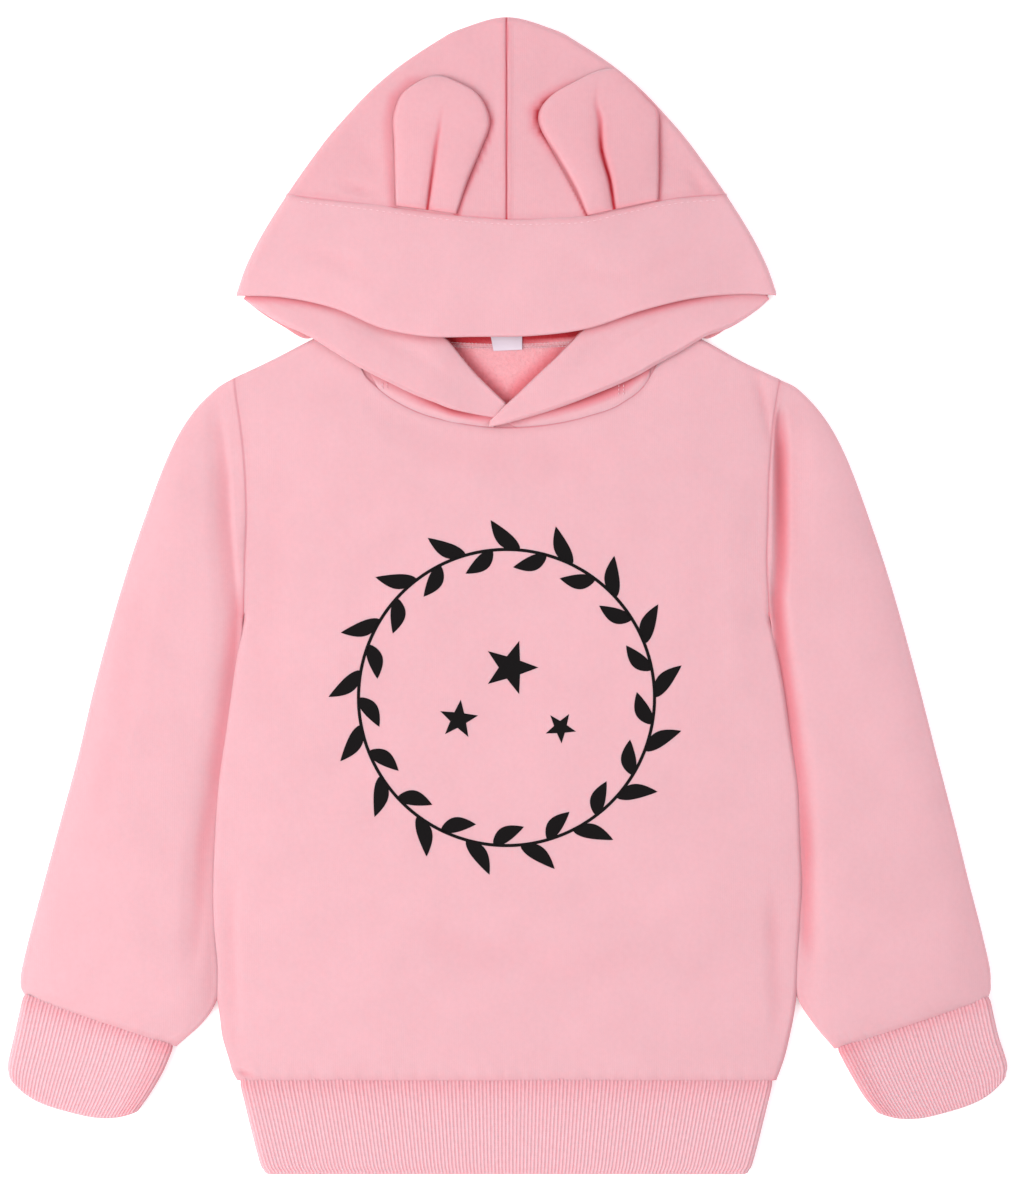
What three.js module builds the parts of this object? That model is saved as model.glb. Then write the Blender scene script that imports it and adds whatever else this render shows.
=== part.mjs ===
// Toddler pullover hoodie in sweatshirt cloth, laid out flat on its back with its hood up.
// Millimetres: +X to the right, +Y towards the hood, +Z up from the surface it lies on.
import * as THREE from 'three';

// Cloth thicknesses and the radius of each kind of fold
const CLOTH = 2.4;
const BAND_CLOTH = 2.6;
const RIB_CLOTH = 2.6;
const BODY_FOLD = 2.9;
const HOOD_FOLD = 3.9;
const RIB_FOLD = 3.5;

// Gaps between pieces: at a seam, and where a sleeve lies beside the body
const SEAM = 0.3;
const BESIDE = 0.5;

// How far the top layers rise above their folds
const BODY_CROWN = 2.5;
const ARMHOLE_CROWN = 0.8;
const NECKLINE_CROWN = 0.5;
const HEM_CROWN = 1.2;
const HOOD_RISE = 7;
const HOOD_RISE_REACH = 75;
const BAND_SWELL = 0.8;
const SEAM_DIP = 0.5;

// How squarely a raised layer, and the cuffs' bowed edge, round over towards their sides
const BODY_SQUARENESS = 6;
const TUBE_SQUARENESS = 4;
const CUFF_SQUARENESS = 3;

// Lengths over which the front's crown starts at the armholes and hem and ends at neck and top
const ARMHOLE_REACH = 12;
const HEM_REACH = 22;
const NECK_REACH = 30;
const TOP_REACH = 26;
const HEM_SIDE_GAIN = 3;

// Facets: along the flat bottom, round each fold and along the top, outside and inside
const OUTSIDE_FACETS = { bottom: 3, turn: 6 };
const INSIDE_FACETS = { bottom: 1, turn: 2, top: 4 };
const SLEEVE_TOP_FACETS = 7;

// Rib knit: spacing and height of the ribs on the side that shows
const RIB_PITCH = 1.94;
const RIB_HEIGHT = 0.45;

// Heights of the hem seam and the underarm points
const HEM_SEAM_Y = -242.8;
const ARMPIT_Y = -11.3;

// Below the chest line the panels' columns spread with the sides, and above it they keep to the
// points of the neckline and shoulders
const CHEST_Y = 30;
const CHEST_TO_NECK = 50;

const table = (names, rows) => rows.map((row) => Object.fromEntries(names.map((name, i) => [name, row[i]])));

// Sides of the body from the hem to the shoulders. Below the armpit they are folds beside the
// sleeves, and above it they are the armhole seams.
const BODY_SIDES = table(['y', 'left', 'right'], [
  [HEM_SEAM_Y, -135.2, 135.4],
  [-238.3, -137.6, 137.2],
  [-232.3, -139.3, 139.3],
  [-222.3, -142.3, 141.8],
  [-209.8, -144.0, 144.3],
  [-197.8, -145.8, 145.8],
  [-186.3, -145.8, 146.3],
  [-167.3, -147.3, 147.3],
  [-144.8, -147.8, 148.3],
  [-119.8, -146.8, 147.5],
  [-94.8, -144.8, 146.3],
  [-69.8, -141.3, 142.5],
  [-44.3, -137.8, 138.8],
  [-28.3, -135.3, 135.8],
  [-18.3, -133.3, 133.8],
  [ARMPIT_Y, -131.8, 131.8],
  [2.8, -131.3, 130.8],
  [18.3, -131.0, 130.3],
  [37.8, -130.3, 130.8],
  [57.8, -130.8, 131.3],
  [72.8, -131.8, 132.3],
  [87.8, -133.6, 133.6],
  [97.8, -135.1, 135.2],
  [109.4, -136.5, 137.2],
]);

// Heights at which the panels have a row of points, up to where the neckline starts
const PANEL_ROWS = [
  HEM_SEAM_Y, -238.3, -232.3, -222.3, -209.8, -197.8, -186.3, -167.3, -144.8, -119.8,
  -94.8, -69.8, -44.3, -28.3, -18.3, ARMPIT_Y, 18.3, 45, 72.8,
];
const NECK_ROWS = [0.4, 0.75, 1];

// Upper edge of both panels: shoulder folds outside, necklines inside. A row with no back value
// shapes the front panel only.
const TOP_EDGE = table(['x', 'front', 'back', 'fold'], [
  [-136.3, 109.3, 109.3, true],
  [-118.3, 117.8, null, true],
  [-101.8, 126.3, 126.3, true],
  [-77.3, 138.3, 138.3, true],
  [-72.3, 111.3, null, false],
  [-61.3, 101.3, 131.3, false],
  [-45.3, 92.3, null, false],
  [-27.8, 87.3, 125.8, false],
  [-6.3, 84.3, 124.8, false],
  [18.8, 85.3, 125.3, false],
  [40.3, 89.8, 126.8, false],
  [58.3, 96.8, 130.3, false],
  [70.8, 107.8, null, false],
  [76.8, 119.3, null, false],
  [78.8, 138.3, 138.3, true],
  [102.3, 126.3, 126.3, true],
  [119.3, 116.8, null, true],
  [137.3, 108.3, 108.3, true],
]);

// Sleeve sections from the armhole to the cuff. The inner end is at the underarm fold and the
// outer end on the outline. Bend is the share of the armhole's curve that the section keeps.
const SLEEVE_NAMES = ['innerX', 'innerY', 'outerX', 'outerY', 'crown', 'bend'];
const LEFT_SLEEVE = table(SLEEVE_NAMES, [
  [-131.8, ARMPIT_Y, -136.3, 109.3, ARMHOLE_CROWN, 1],
  [-132.5, -14.3, -145.8, 103.4, 0.3, 0.7],
  [-133.3, -18.3, -158.3, 90.3, 2.0, 0.3],
  [-134.0, -21.8, -169.3, 70.8, 2.7, 0],
  [-135.3, -28.3, -181.8, 37.8, 3.0, 0],
  [-137.8, -44.3, -193.3, 2.8, 3.0, 0],
  [-141.3, -69.8, -205.8, -42.3, 3.0, 0],
  [-144.8, -94.8, -214.8, -80.3, 3.2, 0],
  [-146.8, -119.8, -223.3, -111.8, 3.4, 0],
  [-147.8, -144.8, -231.3, -141.3, 3.6, 0],
  [-147.3, -167.3, -238.3, -167.3, 4.0, 0],
  [-145.8, -186.3, -242.8, -185.8, 4.6, 0],
  [-146.3, -200.8, -243.8, -193.0, 4.8, 0],
  [-153.3, -213.3, -243.5, -196.8, 4.0, 0],
  [-167.3, -225.8, -241.8, -200.0, 1.2, 0],
]);
const RIGHT_SLEEVE = table(SLEEVE_NAMES, [
  [131.8, ARMPIT_Y, 137.3, 108.3, ARMHOLE_CROWN, 1],
  [132.8, -14.3, 147.3, 102.8, -0.6, 0.9],
  [133.8, -18.3, 160.3, 88.0, 2.2, 0.3],
  [134.5, -21.8, 170.8, 68.3, 2.9, 0],
  [135.8, -28.3, 181.8, 38.8, 3.0, 0],
  [138.8, -44.3, 193.3, 3.8, 3.0, 0],
  [142.5, -69.8, 205.8, -41.3, 3.0, 0],
  [146.3, -94.8, 215.8, -80.3, 3.2, 0],
  [147.5, -119.8, 224.3, -112.8, 3.4, 0],
  [148.3, -144.8, 231.8, -143.3, 3.6, 0],
  [147.3, -167.3, 238.0, -167.3, 4.0, 0],
  [146.3, -186.3, 242.3, -186.3, 4.6, 0],
  [147.3, -200.8, 242.8, -194.0, 4.8, 0],
  [155.3, -214.3, 242.8, -197.8, 4.0, 0],
  [166.3, -227.0, 241.8, -201.0, 1.2, 0],
]);

// Cuff sections from the seam to the free edge, with how far the middle bows towards the hand
const CUFF_NAMES = ['innerX', 'innerY', 'outerX', 'outerY', 'bow'];
const LEFT_CUFF = table(CUFF_NAMES, [
  [-167.0, -226.2, -241.7, -200.4, 0],
  [-172.2, -238.0, -246.0, -219.5, 2.5],
  [-178.8, -249.3, -249.3, -234.0, 6.0],
  [-184.8, -258.0, -248.9, -241.2, 9.4],
]);
const RIGHT_CUFF = table(CUFF_NAMES, [
  [166.0, -227.4, 241.7, -201.4, 0],
  [171.9, -238.0, 245.8, -219.5, 2.5],
  [179.0, -250.0, 250.3, -234.0, 6.0],
  [185.6, -258.6, 249.6, -241.0, 9.4],
]);

// Hem band sections from the seam to the free edge
const HEM_BAND = table(['y', 'left', 'right', 'crown'], [
  [HEM_SEAM_Y - SEAM, -133.6, 133.4, 0],
  [-281.3, -124.0, 123.8, 0.3],
  [-289.8, -120.8, 120.8, -0.3],
]);

// Fold of the hood from its top down to its corner, on the right. The left mirrors it.
const HOOD_OUTLINE = table(['x', 'y'], [
  [0.2, 289.8],
  [23.3, 283.8],
  [34.6, 277.8],
  [52.6, 265.8],
  [66.8, 253.8],
  [78.8, 241.8],
  [89.3, 229.8],
  [98.3, 217.8],
  [106.8, 205.8],
  [110.2, 200.6],
  [118.4, 187.8],
  [125.3, 175.8],
  [131.0, 163.8],
  [134.8, 152.8],
]);
const BAND_END = 9;

// Where each line from the hood's fold ends: on the band seam above, by its distance from the
// centre, and on the neck seam or the slouch below
const HOOD_RAYS = table(['seamX', 'neckX', 'neckY'], [
  [0.2, 0.2, 125.2],
  [13, 14, 125.6],
  [22, 28, 126.4],
  [37, 40, 128.0],
  [51, 51, 130.4],
  [64, 61, 133.2],
  [77, 70, 136.9],
  [88, 77, 140.6],
  [99, 84, 137.4],
  [105, 92, 133.6],
  [null, 101, 129.8],
  [null, 112, 135.8],
  [null, 122, 142.0],
  [null, 130.6, 148.6],
]);

// Seam between hood and band, and the free edge of the band across the face opening
const BAND_SEAM = table(['x', 'y'], [
  [-110.4, 200.3],
  [-83, 196.8],
  [-56.3, 193.3],
  [-39.3, 190.8],
  [-18.3, 188.6],
  [0, 187.3],
  [20, 187.3],
  [39.3, 188.3],
  [57, 192.5],
  [76.3, 196.8],
  [93, 199.3],
  [110.4, 200.3],
]);
const BAND_EDGE = table(['x', 'y'], [
  [-134.4, 151.4],
  [-111.3, 150.3],
  [-84.8, 144.3],
  [-61.3, 134.3],
  [-41.8, 129.8],
  [-13.3, 129.3],
  [13.8, 129.8],
  [40.3, 134.3],
  [67.3, 143.3],
  [93.8, 149.8],
  [117.3, 152.0],
  [134.4, 151.6],
]);
const BAND_COLUMNS = 16;
const BAND_ROWS = 4;

// Where the hood panels have points: from the band seam to the fold, round the fold in degrees, and
// from the fold to the neck seam. A share of the way, or of the band's width, levels their lines.
const HOOD_TOP_SHARES = [0, 0.3, 0.65];
const HOOD_FOLD_DEGREES = [90, 60, 30, 0, -30, -60, -90];
const HOOD_UNDER_SHARES = [0.5, 1];
const BAND_SLANT = -0.05;
const BAND_BLEND_ROWS = 2;

// The band's two lower stretches roll over towards the neck. Each row has the free edge, the
// rolled fold, the neckline seam where it shows, the height of the fold's top and underside, and
// the height of the free edge's top.
const ROLL_NAMES = ['edgeX', 'edgeY', 'foldX', 'foldY', 'seamX', 'seamY', 'foldTop', 'foldBase', 'edgeTop'];
const LEFT_ROLL = table(ROLL_NAMES, [
  [-129.0, 152.3, -131.8, 148.6, null, null, 5.1, 2.7, 5.1],
  [-122.3, 157.3, -124.3, 143.3, null, null, 6.4, 2.7, 5.1],
  [-108.3, 157.8, -112.3, 135.8, null, null, 8.6, 3.4, 5.7],
  [-93.3, 155.3, -98.3, 129.3, null, null, 10.6, 6.4, 6.6],
  [-77.3, 150.3, -84.8, 120.8, null, null, 11.2, 6.8, 8.9],
  [-60.8, 143.8, -72.3, 113.3, null, null, 11.2, 6.8, 9.0],
  [-44.3, 136.8, -58.3, 106.2, -61.3, 101.8, 11.2, 6.8, 8.6],
  [-31.3, 129.3, -45.3, 100.0, -45.3, 92.8, 11.0, 6.8, 8.6],
  [-23.8, 120.8, -36.3, 96.6, -36.3, 90.2, 10.8, 6.8, 8.6],
  [-16.8, 112.3, -27.8, 93.3, -27.8, 87.8, 10.4, 6.8, 8.5],
  [-8.3, 103.8, -16.8, 90.8, -16.8, 86.3, 9.4, 6.7, 8.4],
  [0.2, 95.8, -5.3, 88.8, -6.3, 84.8, 8.6, 6.5, 8.4],
]);
const RIGHT_ROLL = table(ROLL_NAMES, [
  [129.0, 152.3, 131.8, 148.6, null, null, 5.1, 2.7, 5.1],
  [121.8, 157.3, 125.3, 142.8, null, null, 6.4, 2.7, 5.1],
  [107.8, 157.8, 112.3, 134.3, null, null, 8.6, 3.4, 5.7],
  [92.8, 155.8, 99.3, 129.3, null, null, 10.6, 6.4, 6.6],
  [76.8, 152.3, 86.8, 121.8, null, null, 11.2, 6.8, 8.9],
  [60.8, 147.8, 74.0, 114.8, null, null, 11.4, 6.8, 9.2],
  [51.8, 142.3, 66.8, 110.5, 70.4, 108.4, 11.6, 6.8, 9.4],
  [40.3, 134.3, 55.8, 105.3, 58.3, 97.5, 11.8, 6.8, 10.2],
  [30.3, 124.3, 40.3, 99.0, 40.3, 90.4, 12.0, 6.8, 11.0],
  [23.3, 117.3, 29.8, 95.0, 29.8, 88.2, 12.0, 6.8, 11.4],
  [15.8, 110.3, 18.8, 91.3, 18.8, 85.9, 12.0, 7.2, 11.6],
  [6.3, 101.3, 6.8, 87.8, 6.8, 85.4, 11.8, 8.0, 11.6],
  [-1.3, 94.3, -1.8, 85.5, null, null, 11.5, 8.9, 11.5],
  [-8.3, 87.3, -8.8, 84.3, null, null, 11.2, 8.9, 11.2],
]);
const ROLL_CLOTH = 2.4;
const LIP_TOP = BODY_FOLD * 2 + NECKLINE_CROWN;
const LIP_CLOTH = 2.2;

// Section of a roll: shares of its top and degrees round its fold, how its top falls to the edge,
// how its edges are rounded, and how its hidden side runs
const ROLL_TOP_SHARES = [0.7, 0.4];
const ROLL_FOLD_DEGREES = [90, 50, 10, -40];
const ROLL_UNDER_SHARES = [0, 0.33, 0.67];
const ROLL_FALL = 0.8;
const ROLL_EDGE = { top: 0.7, under: 0.3, mostOfWidth: 0.1 };
const ROLL_TUCK = { share: 0.6, lift: 0.1 };
const LIP_STEP = { least: 0.6, overlap: 0.5, reach: 2 };

// Ears from the band seam to the tip, with where the pleat crosses each row and its depth
const EAR_NAMES = ['leftX', 'leftY', 'rightX', 'rightY', 'pleat', 'depth'];
const LEFT_EAR = table(EAR_NAMES, [
  [-55.3, 194.2, -24.8, 190.0, 0.52, 2.6],
  [-55.8, 209.8, -19.3, 206.3, 0.51, 2.2],
  [-56.3, 226.3, -12.8, 221.8, 0.49, 1.4],
  [-56.8, 238.8, -8.3, 234.3, 0.49, 0.4],
  [-53.3, 249.3, -10.3, 243.8, 0.5, 0],
  [-47.3, 254.8, -16.3, 251.8, 0.5, 0],
  [-40.8, 258.3, -27.8, 257.8, 0.5, 0],
]);
const RIGHT_EAR = table(EAR_NAMES, [
  [40.3, 189.2, 75.8, 197.4, 0.38, 3.0],
  [34.3, 202.8, 76.3, 211.8, 0.41, 3.0],
  [25.8, 217.8, 76.3, 226.3, 0.43, 2.8],
  [17.3, 231.8, 75.8, 241.3, 0.5, 1.8],
  [16.3, 241.3, 69.8, 248.8, 0.53, 0.9],
  [23.3, 250.3, 62.8, 256.3, 0.55, 0.3],
  [36.8, 257.8, 53.8, 263.3, 0.55, 0],
]);
const EAR_THICKNESS = 5;
const EAR_EDGE = 1.6;

// Shares across an ear where it has points beside its pleat, how soon it is full across and along,
// the pleat's half-width and the share of it that has points, and how far the ear keeps clear of
// the hood's slope
const EAR_LEFT_SHARES = [0, 0.05, 0.14, 0.32];
const EAR_RIGHT_SHARES = [0.7, 0.86, 0.95, 1];
const EAR_FULL = { across: 6, along: 4.5, curve: 0.5 };
const PLEAT = { half: 0.1, side: 0.07 };
const EAR_CLEARANCE = 3;

// Woven label, folded double and sewn into the back neck seam
const LABEL = { left: -8.2, right: 7.8, low: 121.8, high: 131.5, thickness: 1, edge: 0.6 };

const FLEECE_FINISH = { color: 0xf6bcc4, roughness: 0.92, metalness: 0 };
const RIB_FINISH = { color: 0xf3b2bc, roughness: 0.9, metalness: 0 };
const LABEL_FINISH = { color: 0xf4f0ef, roughness: 0.6, metalness: 0 };

const QUARTER_TURN = Math.PI / 2;
const ARC = [0, 30, 60, 90].map(THREE.MathUtils.degToRad);

// Small helpers
const point = (x, y, z) => new THREE.Vector3(x, y, z);
const mix = THREE.MathUtils.lerp;
const ease = (value) => THREE.MathUtils.smoothstep(value, 0, 1);

// Value of one column of a table at a given value of another, joined by straight lines
function lookUp(rows, from, to, value) {
  const rising = rows[rows.length - 1][from] > rows[0][from];
  const sorted = rising ? rows : [...rows].reverse();
  let next = sorted.findIndex((row) => row[from] >= value);
  if (next < 0) next = sorted.length - 1;
  next = Math.max(next, 1);
  const low = sorted[next - 1];
  const high = sorted[next];
  return THREE.MathUtils.mapLinear(value, low[from], high[from], low[to], high[to]);
}

// Closed body from points and faces, turned so that its faces point out
function closedMesh(name, points, faces, finish) {
  let volume = 0;
  for (const [a, b, c] of faces) {
    volume += points[a].dot(points[b].clone().cross(points[c]));
  }
  const outward = volume > 0 ? faces : faces.map(([a, b, c]) => [a, c, b]);
  const geometry = new THREE.BufferGeometry();
  geometry.setAttribute('position', new THREE.Float32BufferAttribute(points.flatMap((p) => p.toArray()), 3));
  geometry.setIndex(outward.flat());
  geometry.computeVertexNormals();
  const mesh = new THREE.Mesh(geometry, new THREE.MeshStandardMaterial(finish));
  mesh.name = name;
  return mesh;
}

const fleece = (name, points, faces) => closedMesh(name, points, faces, FLEECE_FINISH);
const rib = (name, points, faces) => closedMesh(name, points, faces, RIB_FINISH);

// Wall between two grids of points, with rims wherever a kept cell has no kept neighbour
function wall(outer, inner, kept = () => true) {
  const rows = outer.length;
  const columns = outer[0].length;
  const points = [];
  const numbers = new Map();
  const numberOf = (side, i, j) => {
    const key = `${side} ${i} ${j}`;
    if (!numbers.has(key)) {
      numbers.set(key, points.length);
      points.push((side ? inner : outer)[i][j]);
    }
    return numbers.get(key);
  };
  const has = (i, j) => i >= 0 && j >= 0 && i < rows - 1 && j < columns - 1 && kept(i, j);
  const faces = [];
  const quad = (a, b, c, d) => faces.push([a, b, c], [a, c, d]);
  const rim = (i, j, k, l) => quad(numberOf(0, i, j), numberOf(1, i, j), numberOf(1, k, l), numberOf(0, k, l));
  for (let i = 0; i < rows - 1; i += 1) {
    for (let j = 0; j < columns - 1; j += 1) {
      if (!has(i, j)) continue;
      const corners = (side) => [[i, j], [i + 1, j], [i + 1, j + 1], [i, j + 1]].map(([k, l]) => numberOf(side, k, l));
      quad(...corners(0));
      quad(...corners(1).reverse());
      if (!has(i, j - 1)) rim(i, j, i + 1, j);
      if (!has(i + 1, j)) rim(i + 1, j, i + 1, j + 1);
      if (!has(i, j + 1)) rim(i + 1, j + 1, i, j + 1);
      if (!has(i - 1, j)) rim(i, j + 1, i, j);
    }
  }
  return { points, faces };
}

// Band of faces between two closed loops that follow each other
function joinLoops(faces, first, second) {
  for (let i = 0; i < first.length; i += 1) {
    const next = (i + 1) % first.length;
    faces.push([first[i], second[i], second[next]], [first[i], second[next], first[next]]);
  }
}

// Numbers of a loop's points, added to a list
function addLoop(points, loop) {
  return loop.map((p) => points.push(p.clone()) - 1);
}

// Flat end between an outline and the holes in it, facing the way that closes the body
function addEnd(points, faces, outline, holes, across) {
  const flat = (p) => new THREE.Vector2(p.dot(across), p.z);
  const loops = [outline, ...holes];
  const numbers = loops.flat();
  const contours = loops.map((loop) => loop.map((n) => flat(points[n])));
  const triangles = THREE.ShapeUtils.triangulateShape(contours[0], contours.slice(1));
  const end = triangles.map((corners) => corners.map((corner) => numbers[corner]));
  const runs = (list) => list.some((face) => face.some((n, i) => n === outline[0] && face[(i + 1) % 3] === outline[1]));
  faces.push(...(runs(faces) === runs(end) ? end.map((face) => face.reverse()) : end));
}

// Tube of cloth from rings that each have an outer and an inner loop
function tube(rings) {
  const points = [];
  const faces = [];
  const outer = rings.map((ring) => addLoop(points, ring.outer));
  const inner = rings.map((ring) => addLoop(points, ring.inner));
  for (let i = 1; i < rings.length; i += 1) {
    joinLoops(faces, outer[i - 1], outer[i]);
    joinLoops(faces, inner[i], inner[i - 1]);
  }
  const last = rings.length - 1;
  addEnd(points, faces, outer[0], [inner[0]], rings[0].across);
  addEnd(points, faces, outer[last], [inner[last]], rings[last].across);
  return { points, faces };
}

// One loop of a flattened tube: flat below, round at both folds, raised in the middle on top.
// Inset moves the loop into the wall.
function flattenedLoop(section, fold, inset, facets, raise) {
  const start = point(section.innerX, section.innerY, 0);
  const chord = point(section.outerX, section.outerY, 0).sub(start);
  const width = chord.length();
  const across = chord.normalize();
  const ahead = point(-across.y, across.x, 0).multiplyScalar(section.forward);
  const radius = fold - inset;
  const place = (d, z) => {
    const share = THREE.MathUtils.clamp(d / width, 0, 1);
    return start.clone().addScaledVector(across, d).addScaledVector(ahead, section.bend(share)).setZ(z);
  };
  const loop = [];
  for (let i = 0; i <= facets.bottom; i += 1) {
    loop.push(place(mix(fold, width - fold, i / facets.bottom), inset));
  }
  const turn = (centre, from) => {
    for (let i = 1; i < facets.turn; i += 1) {
      const angle = from + (Math.PI * i) / facets.turn;
      loop.push(place(centre + Math.cos(angle) * radius, fold + Math.sin(angle) * radius));
    }
  };
  turn(width - fold, -QUARTER_TURN);
  for (let i = 0; i <= facets.top; i += 1) {
    const share = i / facets.top;
    const crown = section.crown * (1 - (2 * share - 1) ** TUBE_SQUARENESS);
    loop.push(place(mix(width - fold, fold, share), fold * 2 - inset + crown + raise(i)));
  }
  turn(fold, QUARTER_TURN);
  return { loop, across };
}

// Ring of a flattened tube with a plain inside
function flattenedRing(section, fold, cloth, topCount, raise = () => 0) {
  const outside = flattenedLoop(section, fold, 0, { ...OUTSIDE_FACETS, top: topCount }, raise);
  const inside = flattenedLoop(section, fold, cloth, INSIDE_FACETS, () => 0);
  return { outer: outside.loop, inner: inside.loop, across: outside.across };
}

// Body panels
const ribsAcross = (width) => Math.round((width - 2 * RIB_FOLD) / RIB_PITCH);

function panelColumns(edges) {
  const first = edges[0].x + BODY_FOLD;
  const last = edges[edges.length - 1].x - BODY_FOLD;
  const left = ARC.map((angle) => ({ angle, offset: BODY_FOLD * (1 - Math.cos(angle)), from: 'left' }));
  const right = [...left].reverse().map((column) => ({ ...column, from: 'right' }));
  const middle = edges.slice(1, -1).map((edge) => ({
    angle: QUARTER_TURN,
    share: (edge.x - first) / (last - first),
    x: edge.x,
    fold: edge.fold,
  }));
  return [...left, ...middle, ...right];
}

function columnX(column, y) {
  const left = lookUp(BODY_SIDES, 'y', 'left', y) + BESIDE / 2;
  const right = lookUp(BODY_SIDES, 'y', 'right', y) - BESIDE / 2;
  if (column.from === 'left') return left + column.offset;
  if (column.from === 'right') return right - column.offset;
  const below = 1 - ease((y - CHEST_Y) / CHEST_TO_NECK);
  return mix(column.x, mix(left + BODY_FOLD, right - BODY_FOLD, column.share), below);
}

// Height of the front panel above its folds
function bodyCrown(x, y, top, open) {
  const left = lookUp(BODY_SIDES, 'y', 'left', y);
  const right = lookUp(BODY_SIDES, 'y', 'right', y);
  const share = THREE.MathUtils.clamp((x - left) / (right - left), 0, 1);
  const middle = 1 - Math.abs(2 * share - 1) ** BODY_SQUARENESS;
  const side = ARMHOLE_CROWN * ease((y - ARMPIT_Y) / ARMHOLE_REACH);
  const chest = mix(side, BODY_CROWN, middle);
  const full = mix(chest, NECKLINE_CROWN, ease((y - CHEST_Y - CHEST_TO_NECK) / NECK_REACH));
  const atTop = open ? NECKLINE_CROWN : 0;
  const nearTop = mix(atTop, full, ease((top - y) / TOP_REACH));
  const atHem = HEM_CROWN * Math.min(1, middle * HEM_SIDE_GAIN);
  return mix(atHem, nearTop, ease((y - HEM_SEAM_Y) / HEM_REACH));
}

// Side angle of a fold column, which opens out above the armpit where the sleeve is sewn on
function sideAngle(column, y) {
  const above = THREE.MathUtils.clamp((y - ARMPIT_Y) / BODY_FOLD, 0, 1);
  return Math.max(column.angle, Math.acos(1 - above));
}

function panelGrid(edges, rows, side, up) {
  const outer = [];
  const inner = [];
  const base = BODY_FOLD + (up * SEAM) / 2;
  const radius = BODY_FOLD - SEAM / 2;
  const columns = panelColumns(edges);
  const startOfNeck = rows[rows.length - 1];
  const levels = [
    ...rows.map((y) => ({ y })),
    ...NECK_ROWS.map((share) => ({ share, angle: QUARTER_TURN })),
    ...[...ARC].reverse().slice(1).map((angle) => ({ share: 1, angle })),
  ];
  for (const level of levels) {
    const outerRow = [];
    const innerRow = [];
    for (const column of columns) {
      const fold = column.from !== undefined || column.fold;
      const guess = columnX(column, startOfNeck);
      const top = lookUp(edges, 'x', side, columnX(column, lookUp(edges, 'x', side, guess)));
      const angle = level.angle ?? QUARTER_TURN;
      const round = BODY_FOLD * (1 - Math.cos(angle));
      const y = level.y ?? mix(startOfNeck, top - BODY_FOLD, level.share) + (level.share === 1 ? BODY_FOLD - round : 0);
      const x = columnX(column, y);
      const sideways = sideAngle(column, y);
      const topAngle = fold ? angle : QUARTER_TURN;
      const crown = up > 0 ? bodyCrown(x, y, top, !fold) : 0;
      const outwards = column.from === 'right' ? 1 : -1;
      const useSide = sideways < topAngle;
      const lift = Math.sin(Math.min(sideways, topAngle));
      const normal = useSide
        ? point(outwards * Math.cos(sideways), 0, up * Math.sin(sideways))
        : point(0, Math.cos(topAngle), up * Math.sin(topAngle));
      const skin = point(x, y, base + up * radius * lift + crown);
      outerRow.push(skin);
      innerRow.push(skin.clone().addScaledVector(normal, -CLOTH));
    }
    outer.push(outerRow);
    inner.push(innerRow);
  }
  return { outer, inner };
}

function makeFrontPanel() {
  const { outer, inner } = panelGrid(TOP_EDGE, PANEL_ROWS, 'front', 1);
  const { points, faces } = wall(outer, inner);
  return fleece('front_panel', points, faces);
}

function makeBackPanel() {
  const edges = TOP_EDGE.filter((edge) => edge.back !== null);
  const { outer, inner } = panelGrid(edges, PANEL_ROWS, 'back', -1);
  const { points, faces } = wall(outer, inner);
  return fleece('back_panel', points, faces);
}

// Sleeves and cuffs
function makeSleeve(name, sections, side) {
  const outwards = Math.sign(sections[0].innerX);
  const [armhole] = sections;
  const armholeBend = (share) => {
    const y = mix(armhole.innerY, armhole.outerY, share);
    return Math.abs(mix(armhole.innerX, armhole.outerX, share)) - Math.abs(lookUp(BODY_SIDES, 'y', side, y));
  };
  const rings = sections.map((section) => flattenedRing({
    ...section,
    innerX: section.innerX + (outwards * BESIDE) / 2,
    outerX: section.outerX + (section === armhole ? (outwards * BESIDE) / 2 : 0),
    forward: -1,
    bend: (share) => section.bend * armholeBend(share) * -outwards,
  }, BODY_FOLD, CLOTH, SLEEVE_TOP_FACETS));
  const { points, faces } = tube(rings);
  return fleece(name, points, faces);
}

function makeCuff(name, sections) {
  const outwards = Math.sign(sections[0].innerX);
  const seam = sections[0];
  const ribs = ribsAcross(Math.hypot(seam.outerX - seam.innerX, seam.outerY - seam.innerY));
  const rings = sections.map((section) => flattenedRing({
    ...section,
    crown: 0,
    forward: -outwards,
    bend: (share) => section.bow * (1 - Math.abs(2 * share - 1) ** CUFF_SQUARENESS),
  }, RIB_FOLD, RIB_CLOTH, ribs * 2, (i) => (i % 2) * RIB_HEIGHT));
  const { points, faces } = tube(rings);
  return rib(name, points, faces);
}

function makeHemBand() {
  const [seam] = HEM_BAND;
  const ribs = ribsAcross(seam.right - seam.left);
  const rings = HEM_BAND.map((section) => flattenedRing({
    innerX: section.left,
    innerY: section.y,
    outerX: section.right,
    outerY: section.y,
    crown: section.crown,
    forward: 1,
    bend: () => 0,
  }, RIB_FOLD, RIB_CLOTH, ribs * 2, (i) => (i % 2) * RIB_HEIGHT));
  const { points, faces } = tube(rings);
  return rib('hem_band', points, faces);
}

// Hood
function distanceToOutline(x, y) {
  const target = point(Math.abs(x), y, 0);
  const nearest = point(0, 0, 0);
  let best = Infinity;
  for (let i = 1; i < HOOD_OUTLINE.length; i += 1) {
    const from = point(HOOD_OUTLINE[i - 1].x, HOOD_OUTLINE[i - 1].y, 0);
    const to = point(HOOD_OUTLINE[i].x, HOOD_OUTLINE[i].y, 0);
    new THREE.Line3(from, to).closestPointToPoint(target, true, nearest);
    best = Math.min(best, nearest.distanceTo(target));
  }
  return best;
}

const hoodRise = (x, y) => HOOD_RISE * ease(distanceToOutline(x, y) / HOOD_RISE_REACH);
const hoodTop = (x, y) => HOOD_FOLD * 2 + hoodRise(x, y);

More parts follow.
